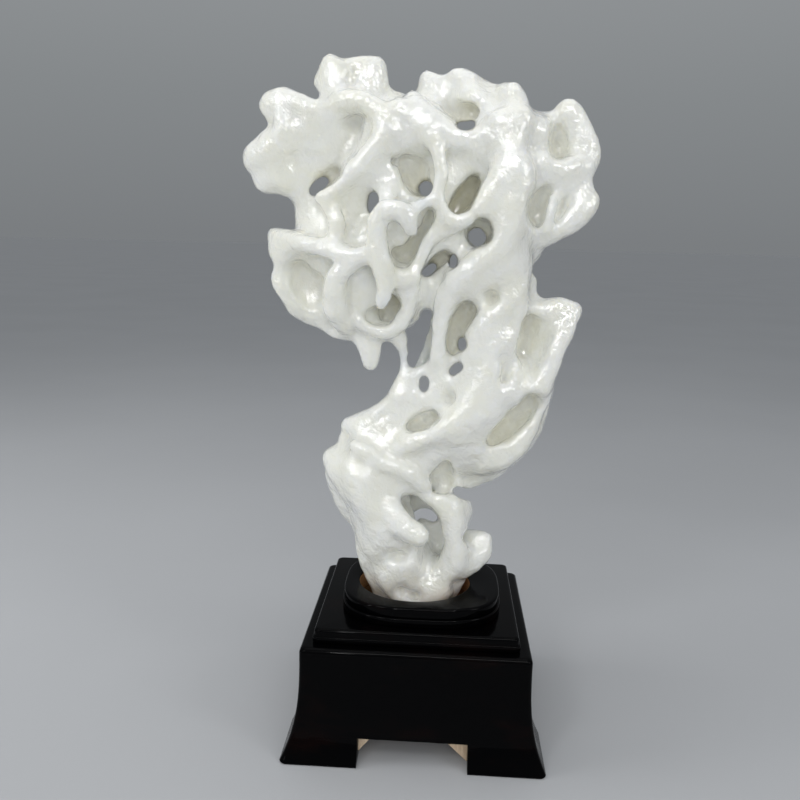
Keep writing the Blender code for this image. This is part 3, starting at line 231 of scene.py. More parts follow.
# Hollows as (mouth depth, floor depth, widening, places), a place being (u, v, radius).
HOLLOWS: dict[str, Hollow] = {
    # Worked from the front
    "bowl": (-36, -13, 0.65, ((362, 117, 10), (356, 131, 15), (343, 147, 20),
        (326, 161, 22), (306, 162, 19), (290, 158, 12))),
    "bowl_slope": (-40, -21, 0.85, ((305, 143, 22), (325, 136, 24), (345, 128, 22))),
    "crown_dish": (-34, -5, 0.7, ((353, 71, 8), (351, 84, 9))),
    "bowl_socket": (-26, -9, 0.9, ((353, 124, 12),)),
    "bowl_undercut": (-30, -2, 0.9, ((336, 172, 9), (323, 181, 11))),
    "slant_pit": (-34, -17, 0.75, ((370, 192, 8), (364, 203, 9), (357, 217, 9.5),
        (351, 234, 9))),
    "strut_dimple": (-36, -22, 0.7, ((319, 208, 8.5), (320, 221, 9))),
    "ridge_dimple": (-36, -20, 0.8, ((321, 235, 5),)),
    "left_bay": (-50, 50, 1.0, ((284, 210, 13.5), (268, 212, 15))),
    "left_cave": (-32, -12, 0.85, ((300, 270, 15), (305, 285, 20), (312, 300, 16))),
    "left_cave_deep": (-20, -8, 0.9, ((318, 278, 9), (320, 291, 9))),
    "cheek_scoop": (-38, -27, 0.8, ((364, 276, 9), (359, 290, 11), (358, 303, 10))),
    "hook_pit": (-34, -5, 0.85, ((373, 316, 12), (384, 316, 14), (394, 305, 11))),
    "hook_hole": (-20, -2, 0.9, ((390, 297, 7.5),)),
    "chin_lens": (-26, -4, 0.9, ((335, 330, 8), (345, 334, 9))),
    "knob_cup": (-46, -34, 0.7, ((393, 226, 9), (391, 237, 8))),
    "eye": (-36, -13, 0.75, ((405, 162, 14), (421, 166, 14), (412, 174, 18), (419, 184, 18),
        (423, 190, 13))),
    "middle_pit": (-36, -11, 0.75, ((431, 211, 8), (427, 225, 10), (417, 240, 12),
        (406, 256, 13.5))),
    "middle_slot": (-34, -8, 0.8, ((392, 247, 4.5), (393, 258, 4.5))),
    "lower_pit": (-36, -5, 0.75, ((446, 255, 9), (437, 262, 11), (429, 270, 9))),
    "long_pit": (-36, -4, 0.92, ((474, 182, 10), (467, 193, 12.5), (460, 204, 13),
        (454, 213, 10))),
    "round_pit": (-38, -15, 0.85, ((479, 232, 18.5),)),
    "round_valley": (-38, -20, 0.6, ((476, 236, 13), (462, 245, 10), (448, 252, 8))),
    "top_scoop": (-34, -3, 0.85, ((447, 105, 10), (458, 111, 13), (469, 113, 12.5),
        (476, 110, 8.5))),
    "knob_recess": (-30, 0, 0.9, ((558, 130, 10), (559, 143, 13), (560, 152, 11.5))),
    "knob_dimple": (-38, -16, 0.8, ((538, 148, 10),)),
    "swirl_pit": (-38, -10, 0.85, ((545, 192, 11), (539, 202, 13), (537, 213, 13),
        (540, 224, 10))),
    "swirl_valley": (-38, -8, 0.7, ((567, 197, 8.5), (562, 209, 8.5), (557, 222, 7))),
    "throat_pit": (-36, -7, 0.85, ((467, 311, 14), (459, 323, 14), (454, 338, 12),
        (453, 350, 9.5))),
    "column_dimple": (-38, -19, 0.9, ((492, 297, 11.5),)),
    "ear_pit": (-32, -4, 0.9, ((531, 322, 11), (528, 338, 13), (525, 352, 11))),
    "ear_scoop": (-30, -11, 0.9, ((539, 326, 13), (536, 345, 14), (529, 362, 11))),
    "ear_slot": (-24, 6, 0.9, ((516, 352, 4.5),)),
    "ear_dimple": (-36, -19, 0.8, ((508, 366, 9.5), (504, 380, 10))),
    "column_flat": (-38, -24, 0.8, ((507, 349, 8), (502, 358, 7))),
    "shoulder_pit": (-36, -6, 0.8, ((411, 427, 9.5), (421, 422, 12.5), (433, 416, 10.5))),
    "shoulder_pock": (-30, -8, 0.8, ((384, 415, 6.5),)),
    "neck_dimple": (-36, -13, 0.9, ((449, 397, 11),)),
    "wing_trough": (-36, -7, 0.85, ((490, 442, 8.5), (503, 432, 12.5), (517, 418, 15.5),
        (531, 402, 13))),
    "lobe_dimple": (-40, -24, 0.7, ((355, 464, 9), (364, 466, 10))),
    "shoulder_notch": (-30, 4, 0.8, ((349, 436, 6.5),)),
    "lobe_pock": (-40, -24, 0.8, ((394, 443, 5.5),)),
    "pillar_pit": (-36, -7, 0.9, ((434, 484, 12), (443, 472, 12), (447, 464, 8),
        (446, 487, 10))),
    "foot_pit": (-36, -8, 0.8, ((403, 500, 8), (412, 503, 10), (426, 513, 10),
        (436, 527, 9), (439, 541, 8))),
    "base_dimple": (-40, -17, 0.8, ((400, 590, 8.5),)),
    "base_arch": (-40, -16, 0.8, ((416, 596, 8.5),)),
    "base_right_pit": (-36, -6, 0.8, ((456, 585, 9),)),
    "base_scoop": (-36, -21, 0.7, ((393, 556, 10), (406, 556, 10))),
    "base_pock": (-34, -14, 0.8, ((429, 562, 7),)),
    "base_side_pit": (-34, -2, 0.8, ((466, 538, 8),)),
    "long_pit_mouth": (-42, -26, 0.6, ((494, 152, 12), (482, 167, 14), (469, 188, 15),
        (458, 203, 13))),
    # Worked from the back
    "back_crown": (74, 28, 0.7, ((345, 118, 11), (330, 140, 14), (318, 158, 11))),
    "back_head_left": (74, 20, 0.7, ((392, 150, 15), (408, 166, 16))),
    "back_head_mid": (74, 30, 0.7, ((468, 150, 13), (482, 166, 15), (490, 182, 11))),
    "back_head_right": (74, 16, 0.7, ((528, 150, 13), (546, 172, 12))),
    "back_left_low": (74, 22, 0.7, ((345, 212, 14), (335, 236, 12))),
    "back_middle": (74, 24, 0.7, ((438, 228, 14), (450, 205, 12))),
    "back_heart": (74, 16, 0.7, ((385, 262, 13), (372, 290, 14))),
    "back_small": (74, 26, 0.7, ((425, 262, 9),)),
    "back_throat": (74, 16, 0.7, ((500, 245, 13), (508, 222, 12))),
    "back_ear": (74, 14, 0.7, ((508, 312, 13), (500, 338, 16))),
    "back_column": (74, 22, 0.7, ((488, 392, 15), (474, 412, 12))),
    "back_elbow": (74, 28, 0.7, ((436, 442, 12), (420, 434, 11))),
    "back_low_left": (74, 14, 0.7, ((385, 485, 14), (378, 508, 11))),
    "back_foot": (74, 16, 0.7, ((412, 545, 12), (398, 558, 11))),
    "back_foot_right": (74, 16, 0.7, ((447, 524, 9),)),
}

# Ridges that reach over the hollows, laid on once these are carved.
RIDGES: dict[str, tuple[Place, ...]] = {
    "horn_ridge": ((281, 107, -13, 8.5), (283, 124, -15, 8), (278, 141, -15, 8),
        (263, 156, -9, 9)),
    "low_ridge": ((424, 437, -20, 8), (410, 446, -21, 8), (398, 448, -19, 8)),
    "shoulder_step": ((355, 446, -19, 8), (368, 452, -21, 8), (378, 462, -22, 8),
        (392, 467, -22, 8), (408, 473, -21, 8.5), (424, 486, -15, 9.5)),
    "strut_left": ((320, 193, -18, 9), (329, 204, -19, 9), (337, 220, -20, 8.5),
        (335, 236, -21, 8.5), (330, 249, -22, 9)),
    "ridge_b": ((400, 110, -18, 13), (425, 130, -22, 11), (439, 152, -25, 8),
        (441, 176, -25, 7.5), (437, 196, -26, 7.5), (444, 218, -26, 8), (460, 224, -26, 8)),
    "knob_lobe": ((408, 218, -33, 10), (411, 229, -31, 8.5)),
    "knob": ((409, 219, -33, 10), (400, 210, -35, 10.5), (386, 209, -35, 10.5),
        (377, 221, -33, 11), (377, 238, -32, 11.5), (379, 254, -30, 12), (385, 270, -28, 10)),
    "spike": ((371, 362, -8, 8.5), (370, 350, -8, 11.5), (368, 336, -6, 16),
        (362, 318, -4, 18)),
    "back_strut": ((437, 322, 10, 8), (430, 345, 10, 6), (422, 364, 8, 6), (418, 372, 4, 7)),
    "bridge_left": ((412, 378, -8, 6), (410, 386, -8, 7)),
    "d_rim": ((372, 254, -27, 9), (350, 262, -26, 10), (338, 275, -25, 11),
        (334, 292, -23, 12), (336, 310, -18, 13), (346, 324, -12, 12)),
    "chin_rim": ((322, 326, -6, 5), (334, 334, -6, 5.5), (346, 337, -6, 5.5),
        (355, 333, -8, 6)),
    "ridge_b2": ((437, 197, -26, 6.5), (424, 203, -28, 6.5), (412, 210, -30, 8)),
    "arch": ((385, 330, -10, 10), (398, 336, -8, 9), (404, 350, -6, 7)),
    "strut_thin": ((403, 344, -6, 8), (404, 357, -7, 5.5), (404, 368, -8, 5.5),
        (403, 380, -8, 9), (402, 395, -8, 14)),
    "hook": ((379, 254, -31, 11), (383, 270, -31, 10.5), (385, 285, -30, 9),
        (384, 296, -30, 7.5), (381, 303, -29, 6.5)),
    "pit_wall": ((442, 222, -23, 8), (431, 238, -24, 7), (424, 250, -23, 6.5),
        (420, 262, -23, 6.5), (411, 275, -24, 7)),
    "pit_back": ((428, 484, 4, 9), (438, 482, 4, 9)),
    "pit_brow": ((432, 240, -21, 5.5), (446, 232, -23, 6.5), (456, 226, -25, 7),
        (468, 219, -26, 8)),
    "swirl": ((553, 197, -14, 5), (551, 209, -16, 5.5), (549, 221, -16, 5.5),
        (544, 231, -14, 6)),
    "finger": ((378, 500, -18, 17), (391, 514, -22, 15), (405, 528, -25, 13.5),
        (419, 536, -27, 11.5)),
}

# Windows and notches, cut right through once the ridges are on; laid out like the hollows.
WINDOWS: dict[str, Hollow] = {
    "crown_notch": (-40, 40, 1.0, ((300, 84, 8), (310, 91, 6), (317, 96.5, 3.6),
        (320, 99, 3.4))),
    "right_notch": (-40, 40, 1.0, ((457, 491, 5), (466, 494, 6.5), (480, 497, 9))),
    "bowl_window": (-20, 75, 1.0, ((313, 192, 5.5), (318, 186, 7), (325, 181, 5.2))),
    "slant_window": (-24, 75, 1.15, ((374, 196, 5.5), (374, 203, 6.2), (372, 210, 5))),
    "eye_window": (-14, 75, 1.0, ((427, 189, 8.5),)),
    "eye_slit": (-30, 75, 1.0, ((393, 157, 3.8), (394, 164, 3.8))),
    "lower_window": (-30, 75, 1.0, ((424, 274, 4.2), (429, 270, 5.4), (434, 266, 4.4))),
    "lower_slit": (-40, 75, 1.0, ((453, 257, 4), (454.5, 262, 4.2), (453, 267, 4))),
    "round_window": (-24, 75, 1.0, ((477, 237, 10),)),
    "top_slit": (-36, 75, 1.0, ((459, 125.5, 4.6), (466, 126.5, 5), (473, 125, 4.6))),
    "throat_gap": (-50, 75, 1.0, ((427, 314, 6.5), (421, 329, 9), (415, 345, 8.5),
        (413, 358, 5.5))),
    "throat_window": (-30, 75, 1.0, ((462, 340, 4.6), (463, 347, 5))),
    "throat_slit": (-30, 75, 1.0, ((452, 372, 5), (459, 367, 5.5))),
    "neck_window": (-40, 75, 1.0, ((424, 380, 5.8), (424, 388, 5.6))),
    "foot_window": (-20, 75, 1.0, ((421, 513, 5.2), (428, 514, 6.5), (434, 518, 5))),
}

# ------------------------------------------------------------------------------ mesh helpers
def everything(bm: BMesh) -> list:
    """All vertices, edges and faces of a bmesh, as bisect_plane takes them."""
    return [*bm.verts, *bm.edges, *bm.faces]


def cut_edges(result: dict) -> list[bmesh.types.BMEdge]:
    """The edges that a bisect_plane left along its cut."""
    return [part for part in result["geom_cut"] if isinstance(part, bmesh.types.BMEdge)]


def add_box(bm: BMesh, low: Vector, high: Vector) -> list[bmesh.types.BMFace]:
    """Add a box between two corners.

    Args:
        bm: The mesh that takes the box.
        low: Lowest corner.
        high: Highest corner.

    Returns:
        The six new faces.
    """
    size, middle = high - low, (high + low) / 2
    made = bmesh.ops.create_cube(
        bm, size=1.0, matrix=Matrix.Translation(middle) @ Matrix.Diagonal((*size, 1.0)))
    return list({face for vert in made["verts"] for face in vert.link_faces})


def squarish_oval(angle: float, centre: Vector, half: Vector, power: float) -> Vector:
    """Find the point of a squarish oval at an angle round its own centre.

    Args:
        angle: Angle in radians, from +X.
        centre: Middle of the oval.
        half: Half its width and half its depth.
        power: How square it is; 2 is an ellipse.

    Returns:
        The point.
    """
    c, s = math.cos(angle), math.sin(angle)
    reach = (abs(c) ** power + abs(s) ** power) ** (-1.0 / power)
    return Vector((centre.x + half.x * reach * c, centre.y + half.y * reach * s))


def finished_mesh(item: Item) -> bpy.types.Mesh:
    """The mesh of an object with its modifiers applied."""
    return bpy.data.meshes.new_from_object(
        item.evaluated_get(bpy.context.evaluated_depsgraph_get()))


def new_item(name: str, data: bpy.types.ID) -> Item:
    """Put a new object that holds some data into the scene.

    Args:
        name: Name of the object.
        data: Its mesh, light or camera.

    Returns:
        The new object.
    """
    item = bpy.data.objects.new(name, data)
    bpy.context.scene.collection.objects.link(item)
    return item


def helper_object(name: str, bm: BMesh) -> Item:
    """Make a working object from a bmesh in mm, and free the bmesh.

    Args:
        name: Name of the object.
        bm: Its mesh, in mm.

    Returns:
        The new object, in metres and linked to the scene.
    """
    bmesh.ops.scale(bm, vec=(MM, MM, MM), verts=bm.verts)
    bmesh.ops.recalc_face_normals(bm, faces=bm.faces)
    mesh = bpy.data.meshes.new(name)
    bm.to_mesh(mesh)
    bm.free()
    return new_item(name, mesh)


def discard(*items: Item) -> None:
    """Remove working objects and their meshes.

    Args:
        items: The objects.
    """
    for item in items:
        mesh = item.data
        bpy.data.objects.remove(item, do_unlink=True)
        bpy.data.meshes.remove(mesh)


def fuse(item: Item, voxel: float) -> None:
    """Melt an object's overlapping solids into one skin.

    Args:
        item: The object.
        voxel: Grain of the skin, in mm.
    """
    remesh = item.modifiers.new("fuse", "REMESH")
    remesh.mode = "VOXEL"
    remesh.voxel_size = voxel * MM


def swell(item: Item, amount: float) -> None:
    """Push a skin outwards, or inwards if the amount is below zero.

    Args:
        item: The object.
        amount: How far the skin moves, in mm.
    """
    push = item.modifiers.new("swell", "DISPLACE")
    push.strength = amount * MM
    push.mid_level = 0.0


def soften(item: Item, rounds: int) -> None:
    """Round an object's edges off.

    Args:
        item: The object.
        rounds: How often the skin is evened out.
    """
    smooth = item.modifiers.new("soften", "SMOOTH")
    smooth.factor = 0.5
    smooth.iterations = rounds


def combine(item: Item, tool: Item, operation: str = "DIFFERENCE",
            solver: str = "EXACT") -> None:
    """Cut a tool's shape out of an object, or add it, with a Boolean modifier.

    Args:
        item: The object that is worked on.
        tool: The object whose shape is used; it isn't rendered.
        operation: DIFFERENCE or UNION.
        solver: The modifier's solver.
    """
    tool.hide_render = True
    work = item.modifiers.new(f"work_{tool.name}", "BOOLEAN")
    work.operation = operation
    work.solver = solver
    work.object = tool


def finish_piece(item: Item, slot: str, *nodes: str, smooth_angle: float, axis_x: float,
                 tools: tuple[Item, ...] = ()) -> Item:
    """Apply an object's modifiers, shade it and stand it for its CAD nodes.

    Args:
        item: The piece, at the origin.
        slot: The record's material slot of the piece; not used.
        nodes: CAD nodes that the piece replaces.
        smooth_angle: Edges sharper than this, in degrees, stay crisp.
        axis_x: How far the piece moves to the right, in mm.
        tools: Cutters that are done with.

    Returns:
        The finished piece.
    """
    if item.modifiers:
        rough, item.data = item.data, finished_mesh(item)
        item.modifiers.clear()
        bpy.data.meshes.remove(rough)
    discard(*tools)
    item.data.transform(Matrix.Translation((axis_x * MM, 0.0, 0.0)))
    item.data.name = item.name
    bm = bmesh.new()
    bm.from_mesh(item.data)
    for face in bm.faces:
        face.smooth = True
    for edge in bm.edges:
        if len(edge.link_faces) == 2:
            edge.smooth = edge.calc_face_angle(0.0) < math.radians(smooth_angle)
    bm.to_mesh(item.data)
    bm.free()
    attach(item, "root")
    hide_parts(*nodes)
    LOG.info("%s: %d faces for %s", item.name, len(item.data.polygons), ", ".join(nodes))
    return item


# --------------------------------------------------------------------------------- finishes
class NodeSketch:
    """Short ways to lay shader nodes in one material."""

    def __init__(self, name: str) -> None:
        """Start a material with a Principled shader and Object coordinates.

        Args:
            name: Name of the material.
        """
        self.material = bpy.data.materials.new(name)
        self.material.use_nodes = True
        self.tree = self.material.node_tree
        self.shader = self.tree.nodes["Principled BSDF"]
        self.place = self.tree.nodes.new("ShaderNodeTexCoord").outputs["Object"]

    def put(self, node: bpy.types.Node, values: dict[str | int, object]) -> None:
        """Give a node's sockets their numbers, or join them to other nodes' outputs.

        Args:
            node: The node.
            values: A number, a colour or another node's output for each socket.
        """
        for name, value in values.items():
            if isinstance(value, Wire):
                self.tree.links.new(value, node.inputs[name])
            else:
                node.inputs[name].default_value = value

    def node(self, kind: str, values: dict[str | int, object], **settings: str,
             ) -> bpy.types.Node:
        """Add a node.

        Args:
            kind: Type of the node, without its common prefix.
            values: A number, a colour or another node's output for each socket.
            settings: Settings of the node that aren't sockets.

        Returns:
            The new node.
        """
        node = self.tree.nodes.new(f"ShaderNode{kind}")
        for name, value in settings.items():
            setattr(node, name, value)
        self.put(node, values)
        return node

    def noise(self, scale: float, detail: float = 2.0, roughness: float = 0.5,
              distortion: float = 0.0, stretch: Triple = (1.0, 1.0, 1.0)) -> Wire:
        """Lay a noise on the object.

        Args:
            scale: Patches per metre.
            detail: Octaves.
            roughness: Share that each octave keeps.
            distortion: How far the patches swirl.
            stretch: Scale along each axis before the noise.

        Returns:
            The noise's factor.
        """
        place = self.node("Mapping", {"Scale": stretch, "Vector": self.place}).outputs["Vector"]
        return self.node("TexNoise", {
            "Scale": scale, "Detail": detail, "Roughness": roughness, "Distortion": distortion,
            "Vector": place}).outputs["Fac"]

    def attribute(self, name: str) -> Wire:
        """Read a number that the mesh carries at each point."""
        return self.node("Attribute", {}, attribute_name=name).outputs["Fac"]

    def spread(self, value: Wire, low: float, high: float, to_low: float = 0.0,
               to_high: float = 1.0) -> Wire:
        """Stretch a value from one range to another, held at the ends.

        Args:
            value: What is stretched.
            low: Start of its range.
            high: End of its range.
            to_low: Result at the start.
            to_high: Result at the end.

        Returns:
            The stretched value.
        """
        return self.node("MapRange", {
            "From Min": low, "From Max": high, "To Min": to_low, "To Max": to_high,
            "Value": value}, interpolation_type="SMOOTHSTEP").outputs["Result"]

    def blend(self, share: Wire, first: Wire | Triple, second: Wire | Triple) -> Wire:
        """Mix two colours by a share.

        Args:
            share: Share of the second, from 0 to 1.
            first: Colour where the share is 0.
            second: Colour where the share is 1.

        Returns:
            The mixed colour.
        """
        first, second = (colour if isinstance(colour, Wire) else (*colour, 1.0)
                         for colour in (first, second))
        return self.node("Mix", {"Factor": share, 6: first, 7: second},
                         data_type="RGBA").outputs[2]

    def sum(self, first: Wire, second: Wire, share: float) -> Wire:
        """Add a share of a second value to a first."""
        return self.node("Math", {0: second, 1: share, 2: first},
                         operation="MULTIPLY_ADD").outputs["Value"]

    def finish(self, values: dict[str, object], height: Wire, depth: float,
               ) -> bpy.types.Material:
        """Set the shader's sockets and raise the surface.

        Args:
            values: A number, a colour or another node's output for each socket.
            height: Height of the surface, from 0 to 1.
            depth: What a height of 1 stands for, in metres.

        Returns:
            The material.
        """
        normal = self.node("Bump", {
            "Strength": 1.0, "Distance": depth, "Height": height}).outputs["Normal"]
        self.put(self.shader, {**values, "Normal": normal, "Coat Normal": normal})
        return self.material


@dataclass(frozen=True)
class MilkyStone:
    """Waxed white stone, with painted shade: warm grey in its hollows, cool grey where thin stone
    lets light through.
    """

    white: Triple = (0.88, 0.885, 0.84)
    cream: Triple = (0.85, 0.85, 0.77)
    # painted shade: the warm grey that points deep in the hollows are tinted towards
    hollow: Triple = (0.70, 0.68, 0.55)
    # painted shade: the cooler grey that thin stone is tinted towards, for light passing through
    # it
    thin: Triple = (0.70, 0.74, 0.76)
    glow: float = 0.55              # share of light that travels under the skin
    glow_reach: float = 0.007       # how far it travels, in metres
    roughness: float = 0.14
    ripple: float = 0.0008          # height of the polishing waves, in metres

    def material(self) -> bpy.types.Material:
        """Build the material.

        Returns:
            The new material.
        """
        sketch = NodeSketch("milky_stone")
        clouds = sketch.noise(38.0, detail=4.0, roughness=0.55, distortion=0.6)
        cloudy = sketch.spread(clouds, 0.38, 0.66)
        skin = sketch.blend(cloudy, self.white, self.cream)
        # Painted shade: where the stone is thin, its colour goes to the cooler grey of light
        # passing through.
        lean = sketch.spread(sketch.attribute("thinness"), 0.35, 1.0)
        skin = sketch.blend(lean, skin, self.thin)
        # Painted shade: the deeper a point lies in a hollow, the more its colour goes to the warm
        # grey hollow tint.
        deep = sketch.spread(sketch.attribute("hollow_shade_depth"), 0.1, 1.1)
        worn = sketch.noise(160.0, detail=3.0, roughness=0.6)
        waves = sketch.sum(sketch.noise(190.0, distortion=0.8),
                           sketch.noise(620.0, roughness=0.55), 0.4)
        # The base colour carries the painted shade of the hollows and of the thin stone.
        return sketch.finish({
            "Base Color": sketch.blend(deep, skin, self.hollow),
            "Roughness": sketch.spread(
                worn, 0.3, 0.7, self.roughness * 0.7, self.roughness * 1.4),
            "Subsurface Weight": self.glow, "Subsurface Scale": self.glow_reach,
            "Subsurface Radius": (1.0, 0.95, 0.8), "Coat Weight": 1.0, "Coat Roughness": 0.04,
            "Coat IOR": 2.1, "IOR": 1.52, "Specular IOR Level": 0.15}, waves, self.ripple)


@dataclass(frozen=True)
class BlackLacquer:
    """Deep black gloss lacquer over wood, with a breath of dark red and faint brush waves."""

    black: Triple = (0.0007, 0.0007, 0.0009)
    red: Triple = (0.0030, 0.0012, 0.0011)
    roughness: float = 0.10
    brush_marks: float = 0.00025    # height of the brush marks, in metres

    def material(self) -> bpy.types.Material:
        """Build the material.

        Returns:
            The new material.
        """
        sketch = NodeSketch("black_lacquer")
        bands = sketch.noise(26.0, detail=4.0, roughness=0.6, stretch=(1.0, 1.0, 3.0))
        glow = sketch.spread(bands, 0.5, 0.75)
        dust = sketch.noise(420.0, detail=4.0, roughness=0.7)
        brush = sketch.sum(sketch.noise(60.0, detail=3.0, stretch=(0.25, 0.25, 1.6)),
                           sketch.noise(500.0, roughness=0.6), 0.10)
        return sketch.finish({
            "Base Color": sketch.blend(glow, self.black, self.red),
            "Roughness": sketch.spread(dust, 0.35, 0.8, self.roughness, self.roughness * 2.4),
            "Specular IOR Level": 0.02, "Coat Weight": 0.08, "Coat Roughness": 0.02},
            brush, self.brush_marks)


@dataclass(frozen=True)
class BareWood:
    """Sawn wood that the lacquer doesn't reach, with its grain along one axis."""

    name: str
    pale: Triple
    dark: Triple
    grain: Triple = (1.0, 1.0, 8.0)
    roughness: float = 0.72
    fibres: float = 0.0004          # height of the fibres, in metres

    def material(self) -> bpy.types.Material:
        """Build the material.

        Returns:
            The new material.
        """
        sketch = NodeSketch(self.name)
        streaks = sketch.noise(110.0, detail=6.0, roughness=0.65, distortion=0.4,
                               stretch=self.grain)
        patches = sketch.noise(34.0)
        tone = sketch.spread(sketch.sum(streaks, patches, 0.5), 0.5, 1.0)
        return sketch.finish({"Base Color": sketch.blend(tone, self.pale, self.dark),
                              "Roughness": self.roughness}, streaks, self.fibres)


@dataclass(frozen=True)
class PaleFloor:
    """Matt pale grey table top."""

    tone: Triple = (0.465, 0.474, 0.488)
    lift: float = 1.04              # how much paler its palest clouds are
    roughness: float = 0.6
    tooth: float = 0.00005          # height of its fine tooth, in metres

    def material(self) -> bpy.types.Material:
        """Build the material.

        Returns:
            The new material.
        """
        sketch = NodeSketch("pale_floor")
        cloud = sketch.spread(sketch.noise(3.0, detail=3.0), 0.3, 0.7)
        paler = tuple(min(1.0, part * self.lift) for part in self.tone)
        return sketch.finish({"Base Color": sketch.blend(cloud, self.tone, paler),
                              "Roughness": self.roughness}, sketch.noise(700.0), self.tooth)


class WoodTone(Enum):
    """Where bare wood shows, and the slot its material takes on a piece."""

    SOCKET = 1
    BRACKET = 2


@dataclass(frozen=True)
class StandFinishes:
    """The stand's materials, in the order of the slots on every stand piece."""

    lacquer: bpy.types.Material
    socket_wood: bpy.types.Material
    bracket_wood: bpy.types.Material

    @classmethod
    def mixed(cls) -> StandFinishes:
        """Build all three.

        Returns:
            The materials, each at its place.
        """
        return cls(
            BlackLacquer().material(),
            BareWood("socket_wood", (0.46, 0.24, 0.10), (0.22, 0.10, 0.04)).material(),
            BareWood("bracket_wood", (0.72, 0.58, 0.42), (0.50, 0.36, 0.23),
                     (6.0, 1.0, 1.0)).material())

    def dress(self, item: Item) -> None:
        """Put the slots on a piece or on a cutter."""
        for material in (self.lacquer, self.socket_wood, self.bracket_wood):
            item.data.materials.append(material)

    def cut(self, item: Item, tool: Item) -> None:
        """Cut a tool out of a piece, and leave the tool's materials on the cut."""
        self.dress(tool)
        combine(item, tool)


# ------------------------------------------------------------------------------------- stone
@dataclass(frozen=True)
class FrontView:
    """The view in which the limbs and hollows are laid out."""

    point: Vector
    squares: float = 800.0
    middle: float = 400.0
    yaw: float = -3.05
    pitch: float = 11.43
    roll: float = 1.38

    def axes(self) -> tuple[Vector, Vector, Vector]:
        """Work out the view's own directions.

        Returns:
            Right, up and forward.
        """
        yaw, pitch, roll = (math.radians(a) for a in (self.yaw, self.pitch, self.roll))
        forward = Vector((math.sin(yaw) * math.cos(pitch), math.cos(yaw) * math.cos(pitch),
                          -math.sin(pitch)))
        level = Vector((math.cos(yaw), -math.sin(yaw), 0.0))
        upright = level.cross(forward)
        return (math.cos(roll) * level + math.sin(roll) * upright,
                math.cos(roll) * upright - math.sin(roll) * level, forward)

    def ball(self, u: float, v: float, radius: float, depth: float) -> Ball:
        """Turn a place on the view into a ball.

        Args:
            u: Squares to the right.
            v: Squares down.
            radius: Radius in squares.
            depth: Distance behind the stand's axis, in mm.

        Returns:
            Centre and radius in mm.
        """
        right, up, forward = self.axes()
        ray = (forward + right * (u - self.middle) / self.squares
               - up * (v - self.middle) / self.squares)
        reach = (depth - self.point.y) / ray.y
        return self.point + ray * reach, radius * reach / self.squares


